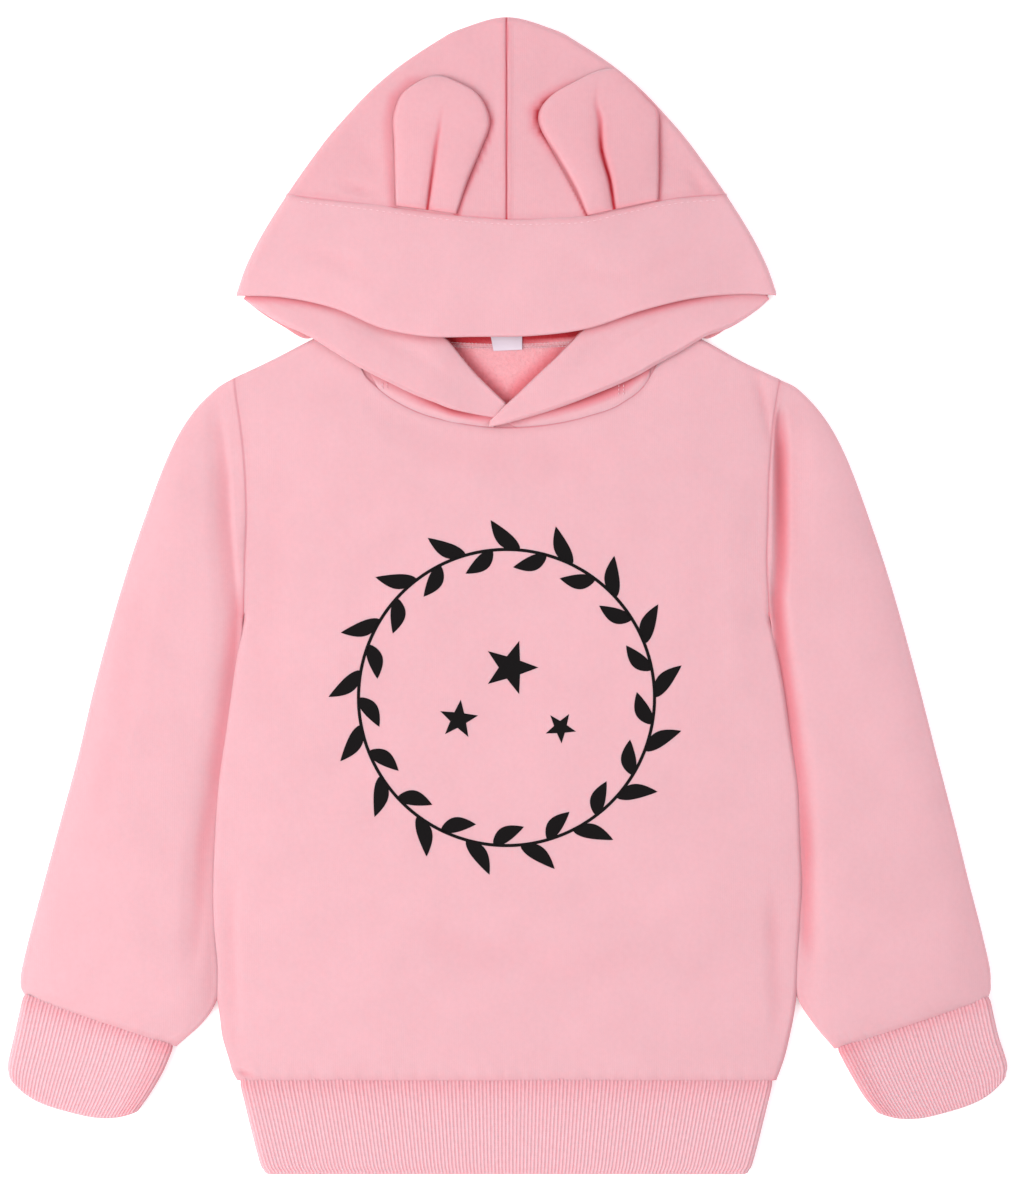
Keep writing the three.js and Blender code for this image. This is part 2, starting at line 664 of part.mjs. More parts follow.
// Direction into the hood at each point of its fold, level with the band seam at the band's end
function foldDirections() {
  return HOOD_OUTLINE.map((here, i) => {
    const before = HOOD_OUTLINE[i - 1] ?? { x: -HOOD_OUTLINE[1].x, y: HOOD_OUTLINE[1].y };
    const after = HOOD_OUTLINE[i + 1] ?? here;
    const square = point(after.y - before.y, before.x - after.x, 0).normalize();
    const along = point(-1, BAND_SLANT, 0).normalize();
    const nearBand = Math.max(0, 1 - Math.abs(i - BAND_END) / BAND_BLEND_ROWS);
    return square.lerp(along, nearBand).normalize();
  });
}

function makeHoodPanel(name, side) {
  const outer = [];
  const inner = [];
  const directions = foldDirections();
  const seamY = (x) => lookUp(BAND_SEAM, 'x', 'y', side * x) + SEAM / 2;
  HOOD_RAYS.forEach((ray, i) => {
    const fold = point(HOOD_OUTLINE[i].x, HOOD_OUTLINE[i].y, 0);
    const inwards = directions[i];
    const skin = [];
    const lining = [];
    const add = (at, z, normal) => {
      const onSide = point(side * at.x, at.y, z);
      skin.push(onSide);
      lining.push(onSide.clone().addScaledVector(point(side * normal.x, normal.y, normal.z), -CLOTH));
    };
    const reach = fold.clone().addScaledVector(inwards, HOOD_FOLD);
    const seam = ray.seamX === null ? reach.clone() : point(ray.seamX, seamY(ray.seamX), 0);
    for (const share of HOOD_TOP_SHARES) {
      const at = seam.clone().lerp(reach, share);
      add(at, hoodTop(at.x, at.y) - (share === 0 ? SEAM_DIP : 0), point(0, 0, 1));
    }
    for (const angle of HOOD_FOLD_DEGREES.map(THREE.MathUtils.degToRad)) {
      const at = fold.clone().addScaledVector(inwards, HOOD_FOLD * (1 - Math.cos(angle)));
      const rise = angle > 0 ? hoodRise(at.x, at.y) : 0;
      const normal = inwards.clone().multiplyScalar(-Math.cos(angle)).setZ(Math.sin(angle));
      add(at, HOOD_FOLD * (1 + Math.sin(angle)) + rise, normal);
    }
    for (const share of HOOD_UNDER_SHARES) {
      add(reach.clone().lerp(point(ray.neckX, ray.neckY, 0), share), 0, point(0, 0, -1));
    }
    outer.push(skin);
    inner.push(lining);
  });
  const foldColumn = HOOD_TOP_SHARES.length + HOOD_FOLD_DEGREES.indexOf(0);
  const { points, faces } = wall(outer, inner, (i, j) => i < BAND_END || j >= foldColumn);
  return fleece(name, points, faces);
}

function makeHoodBand() {
  const outer = [];
  const inner = [];
  const base = HOOD_FOLD + SEAM;
  const columns = [
    ...ARC.map((angle) => ({ angle, end: -1 })),
    ...Array.from({ length: BAND_COLUMNS - 1 }, (_, i) => ({ share: (i + 1) / BAND_COLUMNS, angle: QUARTER_TURN })),
    ...[...ARC].reverse().map((angle) => ({ angle, end: 1 })),
  ];
  for (let row = 0; row <= BAND_ROWS; row += 1) {
    const down = row / BAND_ROWS;
    const endY = mix(BAND_SEAM[0].y - SEAM / 2, BAND_EDGE[0].y, down);
    const endX = lookUp(HOOD_OUTLINE, 'y', 'x', endY);
    const outerRow = [];
    const innerRow = [];
    for (const column of columns) {
      const round = HOOD_FOLD * (1 - Math.cos(column.angle));
      const x = column.end ? column.end * (endX - round) : mix(HOOD_FOLD - endX, endX - HOOD_FOLD, column.share);
      const share = x / endX;
      const seam = lookUp(BAND_SEAM, 'x', 'y', share * BAND_SEAM[BAND_SEAM.length - 1].x) - SEAM / 2;
      const edge = lookUp(BAND_EDGE, 'x', 'y', share * BAND_EDGE[BAND_EDGE.length - 1].x);
      const y = mix(seam, edge, down);
      const swell = BAND_SWELL * Math.sin(Math.PI * down) - (row === 0 ? SEAM_DIP : 0);
      const flat = Math.sin(column.angle);
      const z = base + (HOOD_FOLD - SEAM) * flat + (hoodRise(x, y) + swell) * flat;
      const normal = point((column.end ?? 0) * Math.cos(column.angle), 0, flat);
      const skin = point(x, y, z);
      outerRow.push(skin);
      innerRow.push(skin.clone().addScaledVector(normal, -BAND_CLOTH));
    }
    outer.push(outerRow);
    inner.push(innerRow);
  }
  const { points, faces } = wall(outer, inner);
  return fleece('hood_band', points, faces);
}

// Section of a rolled stretch of the band: over the top from the free edge, round the fold, out
// along the lip to the neckline seam where it shows, and back underneath
function rollSection(row) {
  const edge = point(row.edgeX, row.edgeY, 0);
  const fold = point(row.foldX, row.foldY, 0);
  const inwards = edge.clone().sub(fold);
  const width = inwards.length();
  inwards.normalize();
  const at = (w, z) => fold.clone().addScaledVector(inwards, w).setZ(z);
  const radius = (row.foldTop - row.foldBase) / 2;
  const edgeBase = row.edgeTop - ROLL_CLOTH;
  const fromEdge = (most) => width - Math.min(most, width * ROLL_EDGE.mostOfWidth);
  const loop = [at(width, row.edgeTop - ROLL_CLOTH / 2), at(fromEdge(ROLL_EDGE.top), row.edgeTop)];
  for (const share of ROLL_TOP_SHARES) {
    const w = mix(radius, width, share);
    loop.push(at(w, mix(row.foldTop, row.edgeTop, share ** ROLL_FALL)));
  }
  for (const degrees of ROLL_FOLD_DEGREES) {
    const angle = THREE.MathUtils.degToRad(degrees);
    loop.push(at(radius * (1 - Math.cos(angle)), row.foldBase + radius * (1 + Math.sin(angle))));
  }
  if (row.seamX === null) {
    loop.push(at(radius * ROLL_TUCK.share, row.foldBase + ROLL_TUCK.lift));
    for (const share of ROLL_UNDER_SHARES) {
      loop.push(at(mix(radius, width * ROLL_TUCK.share, share), row.foldBase));
    }
  } else {
    const seam = point(row.seamX, row.seamY, 0);
    const stepped = row.foldBase > LIP_TOP + LIP_STEP.least;
    const drop = stepped ? LIP_TOP - row.foldBase + LIP_STEP.overlap : 0;
    loop.push(at(radius, row.foldBase + drop), seam.clone().setZ(LIP_TOP));
    const lipBase = LIP_TOP - LIP_CLOTH;
    loop.push(seam.clone().setZ(lipBase), at(Math.max(radius, LIP_STEP.reach), lipBase + drop / 2));
  }
  const under = loop[loop.length - 1].z;
  loop.push(at(width * ROLL_TUCK.share, mix(under, edgeBase, ROLL_TUCK.share)));
  loop.push(at(fromEdge(ROLL_EDGE.under), edgeBase));
  return { loop, across: inwards };
}

function makeRoll(name, rows) {
  const points = [];
  const faces = [];
  const sections = rows.map(rollSection);
  const loops = sections.map((section) => addLoop(points, section.loop));
  for (let i = 1; i < loops.length; i += 1) {
    joinLoops(faces, loops[i - 1], loops[i]);
  }
  const last = loops.length - 1;
  addEnd(points, faces, loops[0], [], sections[0].across);
  addEnd(points, faces, loops[last], [], sections[last].across);
  return fleece(name, points, faces);
}

// Ear: two layers sewn and turned, with a pleat that runs up from the band seam
function makeEar(name, rows) {
  const outer = [];
  const inner = [];
  rows.forEach((row, i) => {
    const pleatShares = [-PLEAT.side, 0, PLEAT.side].map((offset) => row.pleat + offset);
    const shares = [...EAR_LEFT_SHARES, ...pleatShares, ...EAR_RIGHT_SHARES];
    const up = i / (rows.length - 1);
    const skin = [];
    const lining = [];
    for (const share of shares) {
      const x = mix(row.leftX, row.rightX, share);
      const y = mix(row.leftY, row.rightY, share);
      const under = Math.max(hoodTop(x, y), hoodTop(x, y - EAR_CLEARANCE)) + SEAM;
      const across = Math.min(1, EAR_FULL.across * Math.min(share, 1 - share)) ** EAR_FULL.curve;
      const along = Math.min(1, EAR_FULL.along * (1 - up)) ** EAR_FULL.curve;
      const full = mix(EAR_EDGE, EAR_THICKNESS, across * along);
      const pleat = row.depth * Math.max(0, 1 - Math.abs(share - row.pleat) / PLEAT.half);
      skin.push(point(x, y, under + full - pleat));
      lining.push(point(x, y, under));
    }
    outer.push(skin);
    inner.push(lining);
  });
  const { points, faces } = wall(outer, inner);
  return fleece(name, points, faces);
}

function makeLabel() {
  const under = CLOTH + SEAM;
  const outer = [];
  const inner = [];
  for (const [y, thickness] of [
    [LABEL.low, LABEL.edge],
    [LABEL.low + LABEL.edge, LABEL.thickness],
    [LABEL.high, LABEL.thickness],
  ]) {
    const row = [LABEL.left, 0, LABEL.right];
    outer.push(row.map((x) => point(x, y, under + thickness)));
    inner.push(row.map((x) => point(x, y, under)));
  }
  const { points, faces } = wall(outer, inner);
  return closedMesh('neck_label', points, faces, LABEL_FINISH);
}

const hoodie = new THREE.Group();
hoodie.add(
  makeBackPanel(),
  makeFrontPanel(),
  makeSleeve('sleeve_left', LEFT_SLEEVE, 'left'),
  makeSleeve('sleeve_right', RIGHT_SLEEVE, 'right'),
  makeCuff('cuff_left', LEFT_CUFF),
  makeCuff('cuff_right', RIGHT_CUFF),
  makeHemBand(),
  makeHoodPanel('hood_panel_left', -1),
  makeHoodPanel('hood_panel_right', 1),
  makeHoodBand(),
  makeRoll('hood_band_left', LEFT_ROLL),
  makeRoll('hood_band_right', RIGHT_ROLL),
  makeEar('ear_left', LEFT_EAR),
  makeEar('ear_right', RIGHT_EAR),
  makeLabel(),
);

// The origin is under the middle of the garment, on the surface it lies on
const bounds = new THREE.Box3().setFromObject(hoodie);
const middle = bounds.getCenter(point(0, 0, 0));
hoodie.position.set(-middle.x, -middle.y, -bounds.min.z);

export default hoodie;
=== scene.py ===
# Toddler pullover hoodie in brushed sweatshirt cloth, laid out flat on its back with its hood up.
# Sizes in the tables are millimetres. They turn to metres as each point is placed.
import math
from collections import namedtuple

import bmesh
import bpy
from bpy.props import FloatProperty, FloatVectorProperty, IntProperty, PointerProperty
from mathutils import Matrix, Vector, noise


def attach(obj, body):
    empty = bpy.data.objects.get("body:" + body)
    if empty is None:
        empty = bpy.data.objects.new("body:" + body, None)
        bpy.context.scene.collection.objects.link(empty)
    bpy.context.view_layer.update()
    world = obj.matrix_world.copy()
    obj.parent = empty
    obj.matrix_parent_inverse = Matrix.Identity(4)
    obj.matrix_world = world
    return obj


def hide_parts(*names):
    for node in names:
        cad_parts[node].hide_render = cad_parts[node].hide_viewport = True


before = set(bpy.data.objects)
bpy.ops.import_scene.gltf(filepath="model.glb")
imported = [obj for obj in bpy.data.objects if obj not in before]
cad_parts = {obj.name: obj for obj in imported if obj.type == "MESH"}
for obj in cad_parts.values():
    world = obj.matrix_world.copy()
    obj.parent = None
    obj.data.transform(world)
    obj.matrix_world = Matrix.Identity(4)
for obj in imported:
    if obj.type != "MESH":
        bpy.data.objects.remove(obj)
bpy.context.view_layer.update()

bl_info = {
    "name": "Toddler Hoodie",
    "version": (1, 0, 0),
    "blender": (4, 5, 0),
    "location": "3D View > Sidebar > Hoodie",
    "description": "Builds a toddler hoodie, laid out flat, piece by piece",
    "category": "Add Mesh",
}

MM = 0.001
# The tables' x axis starts half a millimetre beside the frame's
SHIFT = Vector((-0.5, 0.0, 0.0))

# Radius of each kind of fold, and the heights and rises of the top layers
BODY_FOLD = 2.9
HOOD_FOLD = 3.9
RIB_FOLD = 3.5
SEAM = 0.3
BODY_CROWN = 2.5
ARMHOLE_CROWN = 0.8
NECKLINE_CROWN = 0.5
HEM_CROWN = 1.2
HOOD_TOP_ROUND = 6.6
HOOD_RISE = 7.0
HOOD_RISE_REACH = 75.0
LIP_TOP = BODY_FOLD * 2 + NECKLINE_CROWN
LIP_CLOTH = 2.2

# Depth and half-width of the groove that a sewn seam pulls into the cloth
SEAM_GROOVE = 0.2
SEAM_GROOVE_WIDTH = 1.1

# How far a band starts under the edge of the cloth that it is sewn to, and below it
BAND_TUCK = 1.1
BAND_SINK = 0.6

# How far a sleeve lies into the body's side below the armpit, so that no gap shows
SLEEVE_TUCK = 1.8

# How squarely a raised layer rounds over towards its sides
BODY_SQUARENESS = 6
TUBE_SQUARENESS = 4
CUFF_SQUARENESS = 3

# Lengths over which the front's crown starts at the armholes and hem and ends at neck and top
ARMHOLE_REACH = 12.0
HEM_REACH = 22.0
NECK_REACH = 30.0
TOP_REACH = 26.0
HEM_SIDE_GAIN = 3

# Unevenness of each surface: the size of its waves, their height and the layer of noise
FRONT_WAVES = ((60, 0.5, 3.1), (22, 0.16, 8.4))
SLEEVE_WAVES = ((45, 0.9, 5.3), (18, 0.25, 1.7))
HOOD_WAVES = ((38, 0.7, 2.2), (16, 0.2, 6.6))
BAND_WAVES = ((40, 0.7, 4.4), (17, 0.2, 9.2))
ROLL_WAVES = ((26, 0.5, 7.7),)

HEM_SEAM_Y = -242.8
ARMPIT_Y = -11.3
CHEST_Y = 30.0
CHEST_TO_NECK = 50.0


def table(names, *rows):
    """Rows of numbers with named columns"""
    row_type = namedtuple("Row", names)
    return [row_type(*row) for row in rows]


# Sides of the body from the hem to the shoulders: folds up to the armpit, then armhole seams
BODY_SIDES = table(
    "y left right",
    (HEM_SEAM_Y, -135.2, 135.4),
    (-238.3, -137.6, 137.2),
    (-232.3, -139.3, 139.3),
    (-222.3, -142.3, 141.8),
    (-209.8, -144.0, 144.3),
    (-197.8, -145.8, 145.8),
    (-186.3, -145.8, 146.3),
    (-167.3, -147.3, 147.3),
    (-144.8, -147.8, 148.3),
    (-119.8, -146.8, 147.5),
    (-94.8, -144.8, 146.3),
    (-69.8, -141.3, 142.5),
    (-44.3, -137.8, 138.8),
    (-28.3, -135.3, 135.8),
    (-18.3, -133.3, 133.8),
    (ARMPIT_Y, -131.8, 131.8),
    (2.8, -131.3, 130.8),
    (18.3, -131.0, 130.3),
    (37.8, -130.3, 130.8),
    (57.8, -130.8, 131.3),
    (72.8, -131.8, 132.3),
    (87.8, -133.6, 133.6),
    (97.8, -135.1, 135.2),
    (109.4, -136.5, 137.2),
)

# Shoulder folds and the front and back necklines
LEFT_SHOULDER = table("x y", (-136.3, 109.3), (-118.3, 117.8), (-101.8, 126.3), (-77.3, 138.3))
RIGHT_SHOULDER = table("x y", (78.8, 138.3), (102.3, 126.3), (119.3, 116.8), (137.3, 108.3))
FRONT_NECKLINE = table(
    "x y",
    (-72.3, 111.3),
    (-61.3, 101.3),
    (-45.3, 92.3),
    (-27.8, 87.3),
    (-6.3, 84.3),
    (18.8, 85.3),
    (40.3, 89.8),
    (58.3, 96.8),
    (70.8, 107.8),
    (76.8, 119.3),
)
BACK_NECKLINE = table(
    "x y", (-61.3, 131.3), (-27.8, 125.8), (-6.3, 124.8), (18.8, 125.3), (40.3, 126.8), (58.3, 130.3)
)

# Sleeve sections from the armhole to the cuff, from the underarm fold out to the outline
SLEEVE_COLUMNS = "inner_x inner_y outer_x outer_y crown bend"
LEFT_SLEEVE = table(
    SLEEVE_COLUMNS,
    (-131.8, ARMPIT_Y, -136.3, 109.3, ARMHOLE_CROWN, 1),
    (-132.5, -14.3, -145.8, 103.4, 0.9, 0.7),
    (-133.3, -18.3, -158.3, 90.3, 2.0, 0.3),
    (-134.0, -21.8, -169.3, 70.8, 2.7, 0),
    (-135.3, -28.3, -181.8, 37.8, 3.0, 0),
    (-137.8, -44.3, -193.3, 2.8, 3.0, 0),
    (-141.3, -69.8, -205.8, -42.3, 3.0, 0),
    (-144.8, -94.8, -214.8, -80.3, 3.2, 0),
    (-146.8, -119.8, -223.3, -111.8, 3.4, 0),
    (-147.8, -144.8, -231.3, -141.3, 3.6, 0),
    (-147.3, -167.3, -238.3, -167.3, 4.0, 0),
    (-145.8, -186.3, -242.8, -185.8, 4.6, 0),
    (-146.3, -200.8, -243.8, -193.0, 4.8, 0),
    (-153.3, -213.3, -243.5, -196.8, 4.0, 0),
    (-167.15, -226.0, -241.75, -200.2, 1.4, 0),
)
RIGHT_SLEEVE = table(
    SLEEVE_COLUMNS,
    (131.8, ARMPIT_Y, 137.3, 108.3, ARMHOLE_CROWN, 1),
    (132.8, -14.3, 147.3, 102.8, 0.7, 0.9),
    (133.8, -18.3, 160.3, 88.0, 2.2, 0.3),
    (134.5, -21.8, 170.8, 68.3, 2.9, 0),
    (135.8, -28.3, 181.8, 38.8, 3.0, 0),
    (138.8, -44.3, 193.3, 3.8, 3.0, 0),
    (142.5, -69.8, 205.8, -41.3, 3.0, 0),
    (146.3, -94.8, 215.8, -80.3, 3.2, 0),
    (147.5, -119.8, 224.3, -112.8, 3.4, 0),
    (148.3, -144.8, 231.8, -143.3, 3.6, 0),
    (147.3, -167.3, 238.0, -167.3, 4.0, 0),
    (146.3, -186.3, 242.3, -186.3, 4.6, 0),
    (147.3, -200.8, 242.8, -194.0, 4.8, 0),
    (155.3, -214.3, 242.8, -197.8, 4.0, 0),
    (166.15, -227.2, 241.75, -201.2, 1.4, 0),
)

# Rib bands from the seam to the free edge, with how far the middle bows towards the edge
RIB_COLUMNS = "inner_x inner_y outer_x outer_y bow crown"
LEFT_CUFF = table(
    RIB_COLUMNS,
    (-167.15, -226.0, -241.75, -200.2, 0, 0),
    (-172.2, -238.0, -246.0, -219.5, 2.5, 0),
    (-178.8, -249.3, -249.3, -234.0, 6.0, 0),
    (-184.3, -257.0, -249.0, -240.0, 9.2, 0),
)
RIGHT_CUFF = table(
    RIB_COLUMNS,
    (166.15, -227.2, 241.75, -201.2, 0, 0),
    (171.9, -238.0, 245.8, -219.5, 2.5, 0),
    (179.0, -250.0, 250.3, -234.0, 6.0, 0),
    (185.2, -257.6, 249.8, -239.8, 9.2, 0),
)
HEM_BAND = table(
    RIB_COLUMNS,
    (-133.6, HEM_SEAM_Y, 133.4, HEM_SEAM_Y, 0, 0),
    (-124.0, -281.3, 123.8, -281.3, 0, 0.3),
    (-120.8, -288.5, 120.8, -288.5, 0, -0.3),
)

# Fold of the hood from its top down to its corner, on the right. The left mirrors it.
HOOD_OUTLINE = table(
    "x y",
    (0, 289.8),
    (23.3, 283.8),
    (34.9, 277.8),
    (53.0, 265.8),
    (67.3, 253.8),
    (78.8, 241.8),
    (89.3, 229.8),
    (98.3, 217.8),
    (106.8, 205.8),
    (110.2, 200.6),
    (118.4, 187.8),
    (125.3, 175.8),
    (131.0, 163.8),
    (134.8, 152.8),
)
BAND_END = 9

# Where each line from the hood's fold ends: on the band seam, and on the neck seam or the slouch
HOOD_RAYS = table(
    "seam_x neck_x neck_y",
    (0, 0, 125.2),
    (13, 14, 125.6),
    (22, 28, 126.4),
    (37, 40, 128.0),
    (51, 51, 130.4),
    (64, 61, 133.2),
    (77, 70, 136.9),
    (88, 77, 140.6),
    (99, 84, 137.4),
    (105, 92, 133.6),
    (109, 101, 129.8),
    (114, 112, 135.8),
    (120, 122, 142.0),
    (127, 130.6, 148.6),
)

# Seam between hood and band, and the free edge of the band across the face opening
BAND_SEAM = table(
    "x y",
    (-110.4, 200.3),
    (-83, 196.8),
    (-56.3, 193.3),
    (-39.3, 190.8),
    (-18.3, 188.6),
    (0, 187.3),
    (20, 187.3),
    (39.3, 188.3),
    (57, 192.5),
    (76.3, 196.8),
    (93, 199.3),
    (110.4, 200.3),
)
BAND_EDGE = table(
    "x y",
    (-134.4, 151.4),
    (-111.3, 150.3),
    (-84.8, 144.3),
    (-61.3, 134.3),
    (-41.8, 130.5),
    (-13.3, 130.2),
    (13.8, 130.7),
    (40.3, 134.3),
    (67.3, 143.3),
    (93.8, 149.8),
    (117.3, 152.0),
    (134.4, 151.6),
)

# The band's two lower stretches, which roll over towards the neck: free edge, rolled fold and
# neckline seam, then the heights of the fold's top and underside and of the edge's top
ROLL_COLUMNS = "edge_x edge_y fold_x fold_y seam_x seam_y fold_top fold_base edge_top"
LEFT_ROLL = table(
    ROLL_COLUMNS,
    (-129.0, 152.3, -131.8, 148.6, None, None, 5.1, 2.7, 5.1),
    (-122.3, 157.3, -124.3, 143.3, None, None, 6.4, 2.7, 5.1),
    (-108.3, 157.8, -112.3, 135.8, None, None, 8.6, 3.4, 5.7),
    (-93.3, 155.3, -98.3, 129.3, None, None, 10.6, 6.4, 6.6),
    (-77.3, 150.3, -84.8, 120.8, None, None, 11.2, 6.8, 9.7),
    (-60.8, 143.8, -72.3, 113.3, None, None, 11.2, 6.8, 9.9),
    (-44.3, 136.8, -58.3, 106.2, -61.3, 101.8, 11.2, 6.8, 9.7),
    (-31.3, 129.3, -45.3, 100.0, -45.3, 92.8, 11.0, 6.8, 9.5),
    (-23.8, 120.8, -36.3, 96.6, -36.3, 90.2, 10.8, 6.8, 8.6),
    (-16.8, 112.3, -27.8, 93.3, -27.8, 87.8, 10.4, 6.8, 8.5),
    (-8.3, 103.8, -16.8, 90.8, -16.8, 86.3, 9.4, 6.7, 8.4),
    (0.2, 95.8, -5.3, 88.8, -6.3, 84.8, 8.6, 6.5, 8.4),
)
RIGHT_ROLL = table(
    ROLL_COLUMNS,
    (129.0, 152.3, 131.8, 148.6, None, None, 5.1, 2.7, 5.1),
    (121.8, 157.3, 125.3, 142.8, None, None, 6.4, 2.7, 5.1),
    (107.8, 157.8, 112.3, 134.3, None, None, 8.6, 3.4, 5.7),
    (92.8, 155.8, 99.3, 129.3, None, None, 10.6, 6.4, 6.6),
    (76.8, 152.3, 86.8, 121.8, None, None, 11.2, 6.8, 8.9),
    (60.8, 147.8, 74.0, 114.8, None, None, 11.4, 6.8, 9.2),
    (51.8, 142.3, 66.8, 110.5, 70.4, 108.4, 11.6, 6.8, 9.4),
    (40.3, 134.3, 55.8, 105.3, 58.3, 97.5, 11.8, 6.8, 10.2),
    (30.3, 124.3, 40.3, 99.0, 40.3, 90.4, 12.0, 6.8, 11.0),
    (23.3, 117.3, 29.8, 95.0, 29.8, 88.2, 12.0, 6.8, 11.4),
    (15.8, 110.3, 18.8, 91.3, 18.8, 85.9, 12.0, 7.2, 11.6),
    (6.3, 101.3, 6.8, 87.8, 6.8, 85.4, 11.8, 8.0, 11.6),
    (-1.3, 94.3, -1.8, 85.5, None, None, 11.5, 8.9, 11.5),
    (-8.3, 87.3, -8.8, 84.3, None, None, 10.4, 8.9, 10.4),
)
ROLL_CLOTH = 2.4

# Ears from the band seam to the tip, with where the pleat crosses each row and how deep it is
EAR_COLUMNS = "left_x left_y right_x right_y pleat depth"
LEFT_EAR = table(
    EAR_COLUMNS,
    (-55.3, 194.2, -24.8, 190.0, 0.52, 2.6),
    (-55.8, 209.8, -19.3, 206.3, 0.51, 2.2),
    (-56.3, 226.3, -12.8, 221.8, 0.49, 1.4),
    (-56.8, 238.8, -8.3, 234.3, 0.49, 0.4),
    (-53.3, 249.3, -10.3, 243.8, 0.5, 0),
    (-47.3, 254.8, -16.3, 251.8, 0.5, 0),
    (-40.8, 258.3, -27.8, 257.8, 0.5, 0),
)
RIGHT_EAR = table(
    EAR_COLUMNS,
    (40.3, 189.2, 75.8, 197.4, 0.38, 3.0),
    (34.3, 202.8, 76.3, 211.8, 0.41, 3.0),
    (25.8, 217.8, 76.3, 226.3, 0.43, 2.8),
    (17.3, 231.8, 75.8, 241.3, 0.5, 1.4),
    (16.3, 241.3, 69.8, 248.8, 0.53, 0.5),
    (23.3, 250.3, 62.8, 256.3, 0.55, 0.1),
    (36.8, 257.8, 53.8, 263.3, 0.55, 0),
)
EAR_THICKNESS = 4.4
EAR_EDGE = 1.6

LABEL_LEFT = -8.2
LABEL_RIGHT = 7.8
LABEL_LOW = 123.0
LABEL_HIGH = 131.5
LABEL_BASE = 2.7
LABEL_LEAN = 1.6
LABEL_TILT = 0.6
LABEL_CLOTH = 0.3

# Painted shade: factors of the cloth's colour where the Shade attribute is 0, 0.4 and 1, darker and redder in
# tighter folds
OPEN_CLOTH = (1, 1, 1, 1)
SOFT_FOLD = (0.94, 0.59, 0.62, 1)
TIGHT_FOLD = (0.6, 0.05, 0.07, 1)
SOFT_FOLD_AT = 0.4

# Chest print: the middle of the wreath, how far the ink lies above the cloth, and the stars
PRINT_CENTRE = (0.0, -51.0)
INK_LIFT = 0.14
LEAF_WIDTH = 7.6
STEM_WIDTH = 1.6
STARS = table("x y size turn", (-24, -62, 10, 0.2), (2, -36, 14, 0.0), (27, -66, 8, -0.25))

# Studio, in metres: half of the floor's width and its depth below the cloth, then the length that
# the camera sees from top to bottom, the middle of its view and the height of the plane it frames
FLOOR_REACH = 8.0
FLOOR_DROP = 0.0002
VIEW_LENGTH = 0.599
VIEW_MIDDLE = (0.00225, -0.00175)
VIEW_PLANE = 0.008
LIGHTS = table(
    "name spot width energy colour",
    ("key_light", (-1.3, -0.35, 1.5), 1.3, 35.5, (1.0, 0.985, 0.975)),
    ("fill_light", (1.2, 0.6, 1.9), 1.6, 18.0, (0.9, 0.94, 1.0)),
)

# Creases, each a line of points with a depth and the half-widths to its left and right as one
# goes along it. A negative depth is a ridge.
def stroke(*rows):
    return table("x y depth left right", *rows)


FRONT_CREASES = [
    stroke(
        (122, 118, 0, 4, 4), (127, 104, 0.8, 4, 5), (129.6, 93, 1.0, 3.4, 4), (131.2, 82, 0.6, 2.4, 4),
        (132.2, 74, 0, 2, 3),
    ),
    stroke((-136.5, -236.6, 0, 2, 2), (-132, -239, 1.4, 2, 2.4), (-122, -242, 0, 2, 2)),
    stroke((-118, 60, 0, 8, 8), (-116, 20, 0.5, 12, 14), (-119, -30, 0.4, 12, 14), (-122, -80, 0, 8, 8)),
    stroke((-60, 84, 0, 14, 14), (-20, 70, 0.5, 18, 18), (30, 66, 0.5, 20, 16), (72, 78, 0, 12, 12)),
    stroke((118, 70, 0, 10, 10), (112, 30, -0.5, 14, 10), (114, -20, -0.5, 14, 10), (118, -70, 0, 8, 8)),
    stroke((134, -130, 0, 8, 5), (133, -170, 0.9, 9, 5), (135, -205, 0.7, 9, 5), (134, -235, 0, 6, 4)),
    stroke((-137, -120, 0, 5, 10), (-138, -165, 0.8, 5, 10), (-137, -205, 0.7, 5, 9), (-134, -236, 0, 4, 6)),
    stroke((-60, -150, 0, 10, 10), (-20, -178, 0.4, 12, 16), (40, -186, 0.4, 14, 14), (95, -170, 0, 10, 10)),
]
BACK_CREASES = [
    stroke((-112, 70, 0, 8, 8), (-106, 10, 0.7, 12, 9), (-110, -70, 0.5, 12, 9), (-116, -130, 0, 8, 8)),
    stroke((108, 84, 0, 8, 8), (103, 30, 0.8, 8, 12), (108, -50, 0.5, 9, 13), (115, -110, 0, 8, 8)),
    stroke((-50, 100, 0, 10, 10), (-10, 84, 0.7, 12, 14), (34, 88, 0.6, 14, 10), (66, 102, 0, 8, 8)),
    stroke((-90, -190, 0, 10, 8), (-20, -206, 0.6, 12, 10), (50, -198, 0.7, 12, 10), (100, -180, 0, 8, 8)),
]
LEFT_SLEEVE_CREASES = [
    stroke(
        (-147, 102, 0, 4, 7), (-143.5, 84, 0.8, 4, 9), (-140.6, 59, 1.2, 4, 11), (-139.6, 37, 1.3, 4, 12),
        (-137.4, 12, 1.2, 4, 13), (-135.6, -8, 1.1, 4, 13), (-137.0, -38, 1.0, 4, 13),
        (-142.0, -70, 1.0, 4, 13), (-147.0, -110, 0.8, 4, 11), (-148.5, -145, 0.5, 4, 9),
        (-147.5, -180, 0, 4, 7),
    ),
    stroke((-176, 22, 0, 8, 8), (-188, -30, 0.5, 10, 10), (-196, -80, 0.4, 9, 9), (-206, -124, 0, 8, 8)),
    stroke((-150, -90, 0, 5, 8), (-154, -130, 0.8, 6, 10), (-155, -168, 0.9, 6, 10), (-158, -198, 0, 5, 8)),
]
